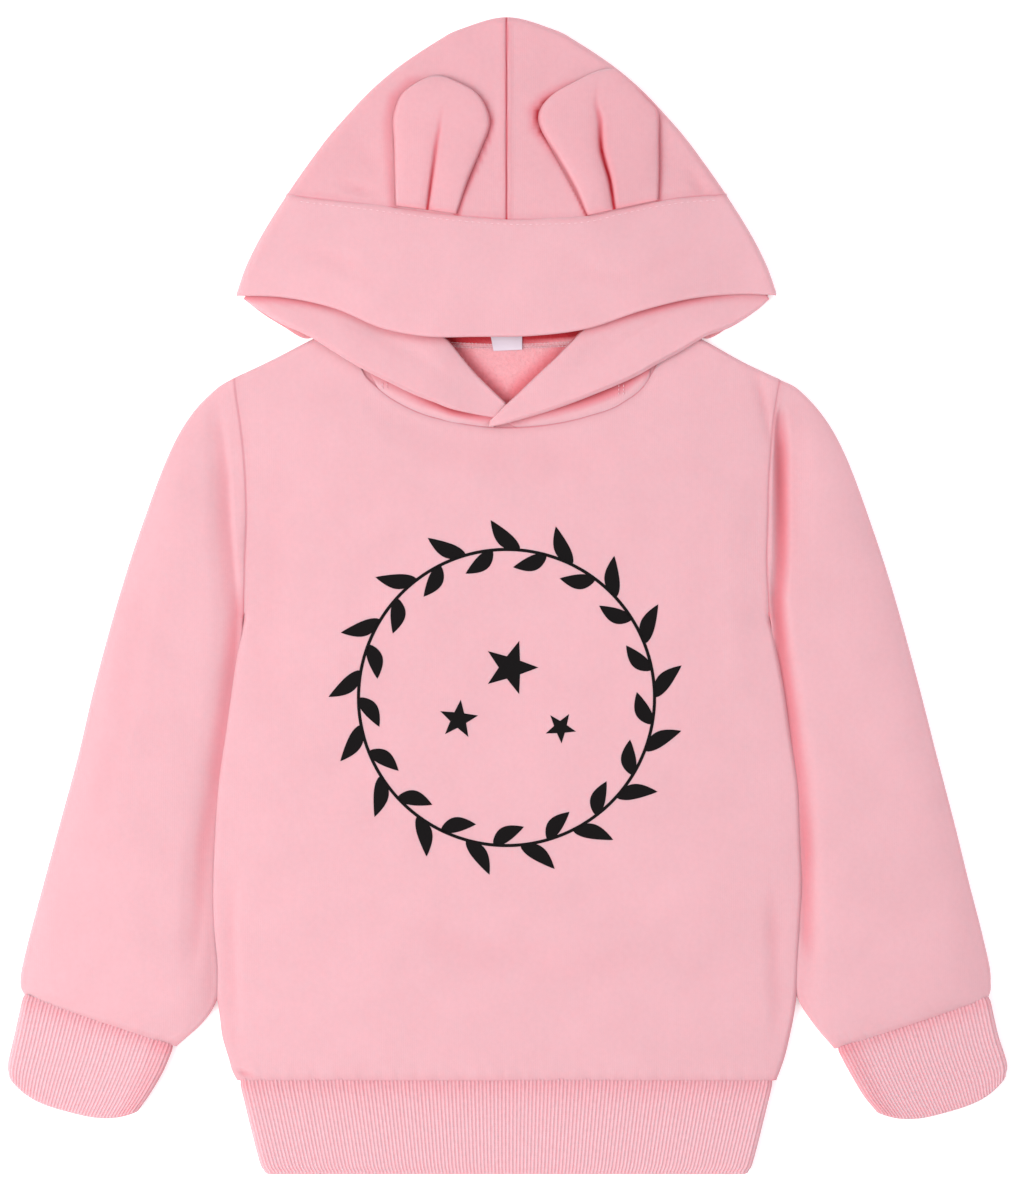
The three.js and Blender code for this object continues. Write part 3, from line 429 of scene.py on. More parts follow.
RIGHT_SLEEVE_CREASES = [
    stroke(
        (137.2, 98, 0, 5, 4), (136.6, 88, 1.6, 6, 4.4), (136.8, 74, 2.8, 6, 4.4),
        (136.9, 58, 3.0, 6, 4.4), (137.0, 38, 2.7, 6, 4.6), (136.9, 18, 2.5, 6, 4.6),
        (136.0, -2, 2.3, 6, 4.6), (137.2, -30, 1.9, 8, 4.6), (141.6, -62, 1.6, 9, 4.6),
        (146.6, -96, 1.2, 9, 4.6), (149.0, -130, 0.8, 9, 4.6), (148.0, -165, 0.5, 7, 4.6),
        (147.5, -185, 0, 6, 4),
    ),
    stroke(
        (148, 104, 0, 8, 6), (145, 90, 0.3, 10, 7), (143, 70, 0.7, 12, 7), (142, 40, 0.8, 13, 7),
        (143, 10, 0.6, 12, 7), (148, -30, 0, 9, 7),
    ),
    stroke((150, -92, 0, 6, 5), (150, -130, 0.9, 8, 5), (150.5, -170, 1.1, 9, 5), (153, -200, 0, 6, 4)),
]
HOOD_CREASES = [
    stroke((-88, 208, 0, 4, 4), (-74, 203, 0.8, 5, 5), (-60, 201, 0, 4, 4)),
    stroke((88, 216, 0, 4, 5), (97, 204, 0.7, 5, 5), (101, 200, 0, 4, 4)),
    stroke((-78, 228, 0, 6, 6), (-68, 218, 0.5, 7, 7), (-58, 212, 0, 6, 6)),
]
# Painted shadow beside the ears, as lines with a strength and half-widths
HOOD_SHADOWS = [
    stroke(
        (26, 252.4, 0, 2, 2), (19, 245.8, 0.6, 2, 2.6), (16.2, 240.3, 0.8, 2, 3),
        (16.8, 233.3, 0.8, 2, 2.6), (21.6, 224.6, 0.5, 2, 2), (30.1, 210.6, 0.4, 2, 1.8),
        (36.8, 197.6, 0.6, 2, 1.8), (40.1, 189.6, 0.6, 2, 1.8),
    ),
    stroke(
        (44, 259.5, 0, 3, 3), (30, 254.3, 0.25, 3, 4), (20, 247.3, 0.35, 3, 6), (16.2, 241.3, 0.4, 3, 8),
        (16.6, 233.3, 0.35, 3, 7), (21.6, 224.6, 0.25, 3, 5), (30.1, 210.6, 0.2, 3, 4),
        (36.8, 197.6, 0.2, 3, 3.5), (40.1, 189.6, 0.2, 3, 3),
    ),
    stroke(
        (-20, 254, 0, 3, 3), (-11, 245.3, 0.35, 3.2, 3), (-8, 236.3, 0.55, 3.2, 3),
        (-9.8, 228.3, 0.55, 3, 3), (-15.8, 214.3, 0.55, 3, 3), (-22, 199.3, 0.6, 2.8, 3),
        (-24.7, 190.5, 0.6, 2.8, 3),
    ),
    stroke(
        (-34, 260, 0, 4, 4), (-48, 256, 0.25, 5, 5), (-55.5, 248, 0.3, 5, 6), (-58, 236, 0.25, 4, 6),
        (-57.5, 220, 0.2, 4, 6), (-56, 200, 0.25, 3, 5), (-55.5, 194.5, 0.25, 3, 5),
    ),
    stroke(
        (62, 258, 0, 3, 3), (72, 248, 0.15, 3, 3), (76.4, 240, 0.25, 2.5, 3), (76.8, 222, 0.35, 2.2, 3),
        (76.4, 204, 0.45, 2.2, 3), (76, 197.5, 0.45, 2.2, 3),
    ),
]
# Faint painted shade all over the hood and the ears, which makes them a little darker than the rest
HOOD_PAINTED_SHADE = 0.06
BAND_CREASES = [
    stroke((-112, 176, 0, 6, 6), (-84, 166, 0.6, 8, 8), (-56, 152, 0, 6, 6)),
    stroke((108, 178, 0, 6, 6), (80, 168, 0.6, 8, 8), (50, 150, 0, 6, 6)),
    stroke((20, 172, 0, 8, 8), (46, 160, 0.5, 8, 8), (70, 156, 0, 6, 6)),
]
LEFT_ROLL_CREASES = [
    stroke((-100, 150, 0, 5, 5), (-74, 136, 0.9, 7, 6), (-46, 120, 0.7, 7, 6), (-24, 106, 0, 4, 4)),
]
RIGHT_ROLL_CREASES = [
    stroke((96, 150, 0, 5, 5), (70, 140, 1.2, 6, 6), (44, 122, 1.2, 6, 7), (24, 105, 0, 4, 5)),
]


def mix(a, b, share):
    return a + (b - a) * share


def clamp(value, low=0.0, high=1.0):
    return min(max(value, low), high)


def ease(value):
    value = clamp(value)
    return value * value * (3 - 2 * value)


def bell(value):
    """Soft bump that is 1 in the middle and 0 from a distance of 1 on"""
    return (1 - value * value) ** 2 if abs(value) < 1 else 0.0


class Smooth:
    """A smooth line through a column of a table, read at any place between its rows"""

    def __init__(self, keys, values):
        pairs = sorted(zip(keys, values))
        self.keys = [key for key, _ in pairs]
        self.values = [value for _, value in pairs]
        steps = [b - a for a, b in zip(self.keys, self.keys[1:])]
        slopes = [(b - a) / step for a, b, step in zip(self.values, self.values[1:], steps)]
        inside = [
            (before * right + after * left) / (before + after)
            for before, after, left, right in zip(steps[1:], steps, slopes[1:], slopes)
        ]
        self.slopes = [slopes[0], *inside, slopes[-1]]

    def __call__(self, key):
        keys = self.keys
        at = 0
        while at < len(keys) - 2 and key > keys[at + 1]:
            at += 1
        step = keys[at + 1] - keys[at]
        t = (key - keys[at]) / step
        if t < 0:
            return self.values[0] + self.slopes[0] * (key - keys[0])
        if t > 1:
            return self.values[-1] + self.slopes[-1] * (key - keys[-1])
        low, high = self.values[at], self.values[at + 1]
        rise_low, rise_high = self.slopes[at] * step, self.slopes[at + 1] * step
        curve = 2 * low - 2 * high + rise_low + rise_high
        bend = 3 * high - 3 * low - 2 * rise_low - rise_high
        return low + t * (rise_low + t * (bend + t * curve))


def by_row(rows, columns):
    """Columns that are read by row number, with fractions between rows"""
    return [Smooth(range(len(rows)), [getattr(row, column) for row in rows]) for column in columns.split()]


def by_column(rows, key, column):
    return Smooth([getattr(row, key) for row in rows], [getattr(row, column) for row in rows])


def nearest_on_line(points, x, y):
    """Distance to a line of points, the number of its nearest stretch, the share along that
    stretch, and whether the place lies to its left"""
    best = None
    for at, ((ax, ay), (bx, by)) in enumerate(zip(points, points[1:])):
        along_x, along_y = bx - ax, by - ay
        square = along_x * along_x + along_y * along_y
        t = clamp(((x - ax) * along_x + (y - ay) * along_y) / square)
        off_x, off_y = x - ax - along_x * t, y - ay - along_y * t
        distance = math.hypot(off_x, off_y)
        if best is None or distance < best[0]:
            best = (distance, at, t, along_x * off_y - along_y * off_x > 0)
    return best


class Crease:
    """A trough or ridge along a stroke"""

    def __init__(self, rows):
        self.rows = rows
        self.points = [(row.x, row.y) for row in rows]
        reach = max(max(row.left, row.right) for row in rows)
        self.low_x = min(row.x for row in rows) - reach
        self.high_x = max(row.x for row in rows) + reach
        self.low_y = min(row.y for row in rows) - reach
        self.high_y = max(row.y for row in rows) + reach

    def depth(self, x, y):
        if not (self.low_x < x < self.high_x and self.low_y < y < self.high_y):
            return 0.0
        distance, at, t, on_left = nearest_on_line(self.points, x, y)
        a, b = self.rows[at], self.rows[at + 1]
        width = mix(a.left, b.left, t) if on_left else mix(a.right, b.right, t)
        share = ease(t) if a.depth == 0 or b.depth == 0 else t
        return mix(a.depth, b.depth, share) * bell(distance / width)


def creases(strokes):
    lines = [Crease(rows) for rows in strokes]
    return lambda x, y: sum(line.depth(x, y) for line in lines)


def crease_shade(depth):
    """Painted shade that goes with a crease: faint in a shallow one, strong in a deep one"""
    return 0.06 * max(depth, 0) + 0.18 * max(depth - 0.6, 0)


def ripple(x, y, waves):
    """Faint unevenness of cloth that has been worn and laid down"""
    return sum(height * noise.noise(Vector((x / size, y / size, layer))) for size, height, layer in waves)


side_left = by_column(BODY_SIDES, "y", "left")
side_right = by_column(BODY_SIDES, "y", "right")
left_shoulder = by_column(LEFT_SHOULDER, "x", "y")
right_shoulder = by_column(RIGHT_SHOULDER, "x", "y")
front_neckline = by_column(FRONT_NECKLINE, "x", "y")
back_neckline = by_column(BACK_NECKLINE, "x", "y")
band_seam = by_column(BAND_SEAM, "x", "y")
band_edge = by_column(BAND_EDGE, "x", "y")
fold_x_at = by_column(HOOD_OUTLINE, "y", "x")
HOOD_FOLD_LINE = [(row.x, row.y) for row in HOOD_OUTLINE]
ROLLED_EDGES = [[(row.edge_x, row.edge_y) for row in rows] for rows in (LEFT_ROLL, RIGHT_ROLL)]
front_crease = creases(FRONT_CREASES)
back_crease = creases(BACK_CREASES)
hood_crease = creases(HOOD_CREASES)
hood_shadow = creases(HOOD_SHADOWS)
band_crease = creases(BAND_CREASES)


# Mesh helpers
def add_patch(bm, columns, rows, place, kept=None, painted_shade=None):
    """Grid of cloth whose point at column i and row j goes to place(i, j), in millimetres. The shade
    function gives the shade painted into the colour at each point, from 0 on open cloth to 1 in the
    tightest fold."""
    made = bmesh.ops.create_grid(bm, x_segments=columns, y_segments=rows, size=0.5, calc_uvs=True)
    verts = made["verts"]
    if kept:
        faces = {face for vert in verts for face in vert.link_faces}
        dropped = []
        for face in faces:
            middle = face.calc_center_median()
            if not kept(int((middle.x + 0.5) * columns), int((middle.y + 0.5) * rows)):
                dropped.append(face)
        bmesh.ops.delete(bm, geom=dropped, context="FACES")
        verts = [vert for vert in verts if vert.is_valid]
    shade_layer = bm.verts.layers.float.get("Shade")
    for vert in verts:
        i = round((vert.co.x + 0.5) * columns)
        j = round((vert.co.y + 0.5) * rows)
        spot = place(i, j)
        if painted_shade:
            vert[shade_layer] = clamp(painted_shade(spot, i, j))
        vert.co = (spot + SHIFT) * MM
    return verts


def new_cloth():
    """Empty mesh with a UV map and the attribute that paints shade into the colour in folds and seams"""
    bm = bmesh.new()
    bm.loops.layers.uv.new("Cloth")
    bm.verts.layers.float.new("Shade")
    return bm


def make_cloth(
    name, materials, columns, rows, place, painted_shade=None, kept=None, side=0, wrapped=False, caps=False
):
    """Piece of one patch of cloth. A wrapped patch is a tube, with its ends closed by caps."""
    bm = new_cloth()
    add_patch(bm, columns, rows, place, kept, painted_shade)
    if wrapped:
        close_loops(bm, caps)
    face_outwards(bm, side)
    return make_object(name, bm, *materials)


def close_loops(bm, caps=False):
    """Joins the two edges of a wrapped grid, and closes its ends where asked"""
    bmesh.ops.remove_doubles(bm, verts=bm.verts, dist=0.00001)
    if caps:
        ends = [edge for edge in bm.edges if edge.is_boundary]
        bmesh.ops.holes_fill(bm, edges=ends, sides=0)


def face_outwards(bm, side=0):
    """Turns the faces outwards: a single layer up for side 1 and down for -1, and a piece with two
    layers away from its mid-height"""
    if side:
        bm.normal_update()
    else:
        bmesh.ops.recalc_face_normals(bm, faces=bm.faces)
    heights = [vert.co.z for vert in bm.verts]
    middle = (min(heights) + max(heights)) / 2
    outwards = sum(
        face.normal.z * face.calc_area() * (side or face.calc_center_median().z - middle)
        for face in bm.faces
    )
    if outwards < 0:
        bmesh.ops.reverse_faces(bm, faces=bm.faces)


def face_up(bm):
    """Turns every face of a flat piece upwards"""
    bm.normal_update()
    down = [face for face in bm.faces if face.normal.z < 0]
    bmesh.ops.reverse_faces(bm, faces=down)


def make_object(name, bm, *materials):
    """Object from a mesh, smooth but for its cut edges, so that seams join without a dark line"""
    for face in bm.faces:
        face.smooth = True
    for edge in bm.edges:
        edge.smooth = not edge.is_boundary
    mesh = bpy.data.meshes.new(name)
    bm.to_mesh(mesh)
    bm.free()
    piece = bpy.data.objects.new(name, mesh)
    bpy.context.scene.collection.objects.link(piece)
    for material in materials:
        mesh.materials.append(material)
    return piece


def give_thickness(piece, thickness):
    """Cloth's thickness inwards from its outer face"""
    wall = piece.modifiers.new("Cloth", "SOLIDIFY")
    wall.thickness = thickness
    wall.offset = -1
    wall.use_even_offset = False
    wall.material_offset = 1
    wall.material_offset_rim = 0


def on_body(piece, slot, *nodes):
    """Every piece is cloth of the one body, and stands for the nodes named"""
    if nodes:
        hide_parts(*nodes)
    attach(piece, "root")


# Surfaces of the garment
def panel_top(x, neckline, neckline_at):
    """Upper edge of a panel, with True on the shoulder folds"""
    if x < LEFT_SHOULDER[-1].x:
        return left_shoulder(x), True
    if x > RIGHT_SHOULDER[0].x:
        return right_shoulder(x), True
    if x < neckline[0].x:
        a, b = LEFT_SHOULDER[-1], neckline[0]
    elif x > neckline[-1].x:
        a, b = neckline[-1], RIGHT_SHOULDER[0]
    else:
        return neckline_at(x), False
    return mix(a.y, b.y, (x - a.x) / (b.x - a.x)), False


def front_top(x):
    return panel_top(x, FRONT_NECKLINE, front_neckline)


def back_top(x):
    return panel_top(x, BACK_NECKLINE, back_neckline)


def hem_pucker(x):
    """Small gathers where the cloth is eased onto the rib band"""
    return 0.2 * math.sin(x * 0.62 + 1.5 * math.sin(x * 0.11)) + 0.12 * math.sin(x * 1.31 + 0.7)


def body_crown(x, y, top, open_edge):
    """Height of the front panel above its folds"""
    left, right = side_left(y), side_right(y)
    share = clamp((x - left) / (right - left))
    middle = 1 - abs(2 * share - 1) ** BODY_SQUARENESS
    side = ARMHOLE_CROWN * ease((y - ARMPIT_Y) / ARMHOLE_REACH)
    chest = mix(side, BODY_CROWN, middle)
    full = mix(chest, NECKLINE_CROWN, ease((y - CHEST_Y - CHEST_TO_NECK) / NECK_REACH))
    near_top = mix(NECKLINE_CROWN if open_edge else 0, full, ease((top - y) / TOP_REACH))
    at_hem = HEM_CROWN * min(1, middle * HEM_SIDE_GAIN)
    return mix(at_hem, near_top, ease((y - HEM_SEAM_Y) / HEM_REACH))


def seam_grooves(x, y):
    """Groove along the armholes, the neckline and the hem seam"""
    groove = SEAM_GROOVE * bell((y - HEM_SEAM_Y) / SEAM_GROOVE_WIDTH)
    if y > ARMPIT_Y - 4:
        near = min(abs(x - side_left(y)), abs(side_right(y) - x))
        groove = max(groove, SEAM_GROOVE * bell(near / SEAM_GROOVE_WIDTH) * ease((y - ARMPIT_Y + 4) / 8))
    if FRONT_NECKLINE[0].x <= x <= FRONT_NECKLINE[-1].x:
        groove = max(groove, 0.6 * SEAM_GROOVE * bell((front_neckline(x) - y) / 1.4))
    return groove


def front_relief(x, y):
    """Creases, seams and unevenness of the front, above its crown"""
    pucker = hem_pucker(x) * bell((y - HEM_SEAM_Y - 1) / 9)
    uneven = ripple(x, y, FRONT_WAVES)
    return uneven + pucker - front_crease(x, y) - seam_grooves(x, y)


def seam_shade(distance, deep=0.26, soft=0.06):
    """Painted shade beside a seam: a fine line with a soft edge"""
    return deep * bell(distance / 0.9) + soft * bell(distance / 4.5)


def front_painted_shade(x, y):
    """Painted shade along the seams, in the creases and in the valleys beside the sleeves"""
    shade = crease_shade(front_crease(x, y)) + seam_shade(y - HEM_SEAM_Y, 0.16, 0.08)
    left, right = x - side_left(y), side_right(y) - x
    above = ease((y - ARMPIT_Y - 6) / 16)
    shade += (seam_shade(left) + seam_shade(right)) * above
    shade += (1 - above) * (0.1 * bell(left / 3) + 0.14 * bell(right / 3))
    if FRONT_NECKLINE[0].x <= x <= FRONT_NECKLINE[-1].x:
        shade += seam_shade(front_neckline(x) - y, 0.4, 0.1)
    return shade


def back_painted_shade(x, y):
    """Painted shade in the creases and, inside the neck opening, towards the band's rolled edges"""
    gap = min(nearest_on_line(edge, x, y)[0] for edge in ROLLED_EDGES)
    at_neck = 0.46 * bell(gap / 9) if y > 88 and abs(x) < 45 else 0
    return crease_shade(back_crease(x, y)) + seam_shade(y - HEM_SEAM_Y, 0.35, 0.1) + at_neck


def front_height(x, y):
    top, fold = front_top(x)
    return BODY_FOLD * 2 + body_crown(x, y, top, not fold) + front_relief(x, y)


def panel_place(columns, rows, up, top_edge, relief):
    """Places the points of a body panel, which rounds over at its sides and shoulders"""
    turn = 7
    start_of_neck = 76.0
    neck_rows = 22

    def column_x(i, y):
        left, right = side_left(y), side_right(y)
        if i <= turn:
            return left + BODY_FOLD * (1 - math.cos(math.pi / 2 * i / turn))
        if i >= columns - turn:
            return right - BODY_FOLD * (1 - math.cos(math.pi / 2 * (columns - i) / turn))
        return mix(left + BODY_FOLD, right - BODY_FOLD, (i - turn) / (columns - 2 * turn))

    def place(i, j):
        at_top = j - (rows - turn)
        angle = math.pi / 2 * (1 - clamp(at_top / turn))
        rounding = BODY_FOLD * (1 - math.cos(angle))
        low_rows = rows - turn - neck_rows
        guess = column_x(i, 110.0)
        top, _ = top_edge(column_x(i, top_edge(guess)[0]))
        if j <= low_rows:
            y = mix(HEM_SEAM_Y, start_of_neck, (j / low_rows) ** 1.2)
        else:
            y = mix(start_of_neck, top - BODY_FOLD, clamp((j - low_rows) / neck_rows))
            if at_top >= 0:
                y += BODY_FOLD - rounding
        x = column_x(i, y)
        _, fold = top_edge(x)
        fold = fold or i <= turn or i >= columns - turn
        edge_angle = math.pi / 2 * clamp(min(i, columns - i) / turn)
        opened = math.acos(1 - clamp((y - ARMPIT_Y) / BODY_FOLD))
        sideways = max(edge_angle, opened)
        lift = math.sin(min(sideways, angle if fold else math.pi / 2))
        crown = body_crown(x, y, top, not fold) if up > 0 else 0
        added = (crown + relief(x, y)) * ease(lift)
        return Vector((x, y, BODY_FOLD + up * BODY_FOLD * lift + added))

    return place


def add_neck_allowance(bm):
    """Seam allowance of the neckline, which lies inside it under the rolled band"""
    columns, rows = 60, 3
    low, high = FRONT_NECKLINE[0].x + 0.4, FRONT_NECKLINE[-1].x - 1

    def place(i, j):
        x = mix(low, high, i / columns)
        return Vector((x, front_neckline(x) + mix(-1, 8, j / rows), LIP_TOP - 0.8))

    # The allowance carries an even painted shade, as it lies under the rolled band
    add_patch(bm, columns, rows, place, painted_shade=lambda spot, i, j: 0.22)


def make_panel(name, columns, rows, up, top_edge, relief, painted_shade, materials):
    bm = new_cloth()
    place = panel_place(columns, rows, up, top_edge, relief)
    add_patch(bm, columns, rows, place, painted_shade=lambda spot, i, j: painted_shade(spot.x, spot.y))
    if up > 0:
        add_neck_allowance(bm)
    face_outwards(bm, up)
    return make_object(name, bm, *materials)


# Tubes: sleeves and rib bands
def loop_stations(under, turn, over):
    """Places round a flattened tube, each a stretch of it and the share along that stretch"""
    return (
        [("under", k / under) for k in range(under)]
        + [("outer", k / turn) for k in range(turn)]
        + [("over", k / over) for k in range(over)]
        + [("inner", k / turn) for k in range(turn + 1)]
    )


def loop_place(station, width, radius, inset=0.0):
    """Distance across, height and upward turn of a place round a flattened tube"""
    stretch, share = station
    wall = radius - inset
    if stretch == "under":
        return mix(radius, width - radius, share), inset, 0.0
    if stretch == "over":
        return mix(width - radius, radius, share), radius * 2 - inset, 1.0
    angle = math.pi * (share - 0.5) if stretch == "outer" else math.pi * (share + 0.5)
    centre = width - radius if stretch == "outer" else radius
    return centre + math.cos(angle) * wall, radius + math.sin(angle) * wall, max(0.0, math.sin(angle))


def section_across(corners, t):
    """Inner end of a tube's section, the direction across it and its width"""
    inner_x, inner_y, outer_x, outer_y = [corner(t) for corner in corners]
    start = Vector((inner_x, inner_y, 0))
    across = Vector((outer_x, outer_y, 0)) - start
    width = across.length
    across.normalize()
    return start, across, width


def make_sleeve(name, sections, side_x, strokes, side_shade, materials):
    """Sleeve from the armhole seam to the cuff seam. The side shade is how much shade is painted
    beside the body, below the armpit."""
    *corners, crown, bend = by_row(sections, SLEEVE_COLUMNS)
    crease = creases(strokes)
    out = math.copysign(1, sections[0].inner_x)
    stations = loop_stations(under=34, turn=9, over=76)
    rows = 132
    last = len(sections) - 1
    armhole = sections[0]

    def along(j):
        """Row number in the table of sections, with more points near the armhole"""
        return last * (j / rows) ** 1.15

    def armhole_bend(share):
        y = mix(armhole.inner_y, armhole.outer_y, share)
        return abs(mix(armhole.inner_x, armhole.outer_x, share)) - abs(side_x(y))

    def place(i, j):
        t = along(j)
        start, across, width = section_across(corners, t)
        ahead = Vector((across.y, -across.x, 0))
        d, z, up = loop_place(stations[i], width, BODY_FOLD)
        share = clamp(d / width)
        at = start + across * d + ahead * (-out * clamp(bend(t)) * armhole_bend(share))
        at.x -= out * SLEEVE_TUCK * ease((ARMPIT_Y - at.y) / 10) * bell(share * 1.2)
        if j == 0:
            at.x -= out * BAND_TUCK
        if up > 0:
            over = clamp((d - BODY_FOLD) / (width - 2 * BODY_FOLD))
            raised = crown(t) * (1 - (2 * over - 1) ** TUBE_SQUARENESS)
            uneven = ripple(at.x, at.y, SLEEVE_WAVES)
            groove = SEAM_GROOVE * bell(armhole_gap(at) / SEAM_GROOVE_WIDTH)
            pucker = hem_pucker(d * 1.3 + 4) * 0.6 * bell((last - t) / 0.9)
            cuff_groove = SEAM_GROOVE * bell((last - t) / 0.35)
            own = raised + uneven + pucker - cuff_groove - groove - crease(at.x, at.y)
            sewn = front_height(at.x, at.y) - BODY_FOLD * 2
            z += up * mix(sewn, own, ease(armhole_gap(at) / 3 if at.y > ARMPIT_Y else t / 1.5))
            if j == 0:
                z -= up * BAND_SINK
        return Vector((at.x, at.y, z))

    def armhole_gap(spot):
        return abs(spot.x) - abs(side_x(spot.y)) if spot.y > ARMPIT_Y else 99.0

    # Painted shade in the creases, along the armhole seam, at the cuff seam and beside the body below the
    # armpit
    def painted_shade(spot, i, j):
        t = along(j)
        shade = crease_shade(crease(spot.x, spot.y)) if spot.z > BODY_FOLD else 0
        shade += seam_shade(armhole_gap(spot)) + 0.12 * bell((last - t) / 0.25)
        beside = abs(spot.x) - abs(side_x(spot.y))
        below = 1 - ease((spot.y - ARMPIT_Y) / 22)
        fading = 1 - 0.65 * ease((ARMPIT_Y - 70 - spot.y) / 80)
        return shade + side_shade * bell(beside / 10) * below * fading

    return make_cloth(name, materials, len(stations) - 1, rows, place, painted_shade, wrapped=True)


def make_rib_band(name, sections, forward, sizes, side_shade, materials):
    """Doubled rib band: ribs all round its outside, a fold at its free edge, plain inside. The side
    shade is the shade painted on its inner side, where it rounds away from the light."""
    *corners, bow, crown = by_row(sections, RIB_COLUMNS)
    cloth = sizes.rib_cloth / MM
    pitch = sizes.rib_pitch / MM
    height = sizes.rib_height / MM
    last = len(sections) - 1
    first = sections[0]
    width = math.hypot(first.outer_x - first.inner_x, first.outer_y - first.inner_y)
    across_ribs = round((width - 2 * RIB_FOLD) / pitch)
    turn_ribs = round(math.pi * RIB_FOLD / pitch)
    points = 6
    stations = loop_stations(across_ribs * points, turn_ribs * points, across_ribs * points)
    rows, edge_rows, inside_rows = 14, 4, 2
    total = rows + edge_rows + inside_rows

    def place(i, j):
        t = last * clamp(j / rows) ** 1.3
        turned = math.pi * clamp((j - rows) / edge_rows)
        inset = cloth / 2 * (1 - math.cos(turned))
        beyond = cloth / 2 * math.sin(turned)
        if j > rows + edge_rows:
            t = last * (1 - (j - rows - edge_rows) / inside_rows)
        start, across, span = section_across(corners, t)
        ahead = Vector((-across.y, across.x, 0)) * forward
        d, z, up = loop_place(stations[i], span, RIB_FOLD, inset)
        share = clamp(d / span)
        bowed = bow(t) * (1 - abs(2 * share - 1) ** CUFF_SQUARENESS)
        at = start + across * d + ahead * (bowed + beyond)
        out = Vector((*(across * (d - clamp(d, RIB_FOLD, span - RIB_FOLD))).xy, z - RIB_FOLD))
        out.normalize()
        ridge = 0.5 - 0.5 * math.cos(2 * math.pi * i / points)
        on_outside = clamp(1 - turned / math.pi)
        lift = ridge * height * on_outside
        if out.z < 0:
            lift -= height * on_outside * abs(out.z)
        seam_end = SEAM_GROOVE * bell(t / last / 0.06) if j <= rows else 0
        pull = hem_pucker(d * 1.9) * 0.5 * bell(t / last / 0.3) if j <= rows and up > 0 else 0
        raised = (crown(t) * (1 - (2 * share - 1) ** TUBE_SQUARENESS) + pull) * up if j <= rows else 0
        spot = Vector((at.x, at.y, z)) + out * (lift - seam_end)
        spot.z += raised
        if j == 0:
            spot -= ahead * BAND_TUCK + out * BAND_SINK
        return spot

    # Painted shade in the grooves between the ribs, beside the seam, and on the band's inner side
    def painted_shade(spot, i, j):
        groove = 0.5 + 0.5 * math.cos(2 * math.pi * i / points)
        at_seam = 0.12 * bell(j / 3) + 0.06 * bell(j / 6) if j <= rows else 0
        stretch, share = stations[i]
        beside = side_shade * bell((1 - share) / 0.16) if stretch == "over" else 0
        return 0.14 * groove + at_seam + beside + (side_shade if stretch == "inner" else 0)

    return make_cloth(name, materials, len(stations) - 1, total, place, painted_shade, wrapped=True)


# Hood
def hood_rise(x, y):
    """How far the hood's top stands above its fold, by the distance inwards from it"""
    return HOOD_RISE * ease(nearest_on_line(HOOD_FOLD_LINE, abs(x), y)[0] / HOOD_RISE_REACH)


def hood_height(x, y):
    """Top of the hood between its fold and the band seam"""
    uneven = ripple(x, y, HOOD_WAVES)
    groove = 0.6 * SEAM_GROOVE * bell((y - band_seam(x)) / SEAM_GROOVE_WIDTH)
    centre = 0.3 * bell((x - 1.3) / 1.5) + 0.25 * bell((x + 1.5) / 1.6) - 0.3 * bell(x / 0.7)
    return HOOD_FOLD * 2 + hood_rise(x, y) + uneven + centre - groove - hood_crease(x, y)


def hood_painted_shade(x, y):
    """Painted shade along the centre and band seams, in the creases, beside the ears and faintly all over"""
    shade = 0.7 * bell(x / 0.7) + 0.12 * bell(x / 4) + seam_shade(y - band_seam(x), 0.18, 0.08)
    return shade + crease_shade(hood_crease(x, y)) + hood_shadow(x, y) + HOOD_PAINTED_SHADE


def make_hood_panel(name, side, materials):
    """Half of the hood, from the centre and band seams over the fold to the neck seam behind"""
    steps = 11
    rows = (len(HOOD_OUTLINE) - 1) * steps
    over, turn, under = 66, 9, 18
    fold_x, fold_y = by_row(HOOD_OUTLINE, "x y")
    seam_x, neck_x, neck_y = by_row(HOOD_RAYS, "seam_x neck_x neck_y")

    def inwards_at(t):
        before, after = max(t - 0.1, 0), min(t + 0.1, len(HOOD_OUTLINE) - 1)
        square = Vector((fold_y(after) - fold_y(before), fold_x(before) - fold_x(after), 0)).normalized()
        if t < 0.5:
            square = square.lerp(Vector((0, -1, 0)), 1 - t / 0.5).normalized()
        level = Vector((-1, -0.05, 0)).normalized()
        return square.lerp(level, max(0, 1 - abs(t - BAND_END) / 2)).normalized()

    def place(i, j):
        t = j / steps if j > steps else (j / steps) ** 2
        fold = Vector((fold_x(t), fold_y(t) + HOOD_TOP_ROUND * t * max(1 - t, 0) ** 2, 0))
        inwards = inwards_at(t)
        reach = fold + inwards * HOOD_FOLD
        if i <= over:
            seam = Vector((seam_x(t), band_seam(side * seam_x(t)), 0))
            at = seam.lerp(reach, (i / over) ** 1.35)
            at.x = max(at.x, 0.0)
            z = hood_height(side * at.x, at.y)
        elif i <= over + 2 * turn:
            angle = math.pi / 2 * (1 - (i - over) / turn)
            at = fold + inwards * (HOOD_FOLD * (1 - math.cos(angle)))
            z = HOOD_FOLD * (1 + math.sin(angle))
            if angle > 0:
                z += (hood_height(side * at.x, at.y) - HOOD_FOLD * 2) * ease(math.sin(angle))
        else:
            share = 1 - (1 - (i - over - 2 * turn) / under) ** 2
            at = reach.lerp(Vector((neck_x(t), neck_y(t) - 0.8, 0)), share)
            z = 0.3 * ease(share)
        sway = 0.35 * math.sin(at.y * 0.13) * bell(at.x / 8)
        return Vector((side * at.x + sway, at.y, z))

    # Painted shade on the outer layer as on the rest of the hood, and a deep painted shadow on the inner
    # layer just under the band's free edge
    def painted_shade(spot, i, j):
        if i <= over + 2 * turn:
            return hood_painted_shade(spot.x, spot.y)
        return 0.95 * ease((spot.y - band_edge(spot.x) + 4.8) / 1.6) if abs(spot.x) < 50 else 0

    def kept(i, j):
        return j < BAND_END * steps or i >= over + turn

    return make_cloth(name, materials, over + 2 * turn + under, rows, place, painted_shade, kept)


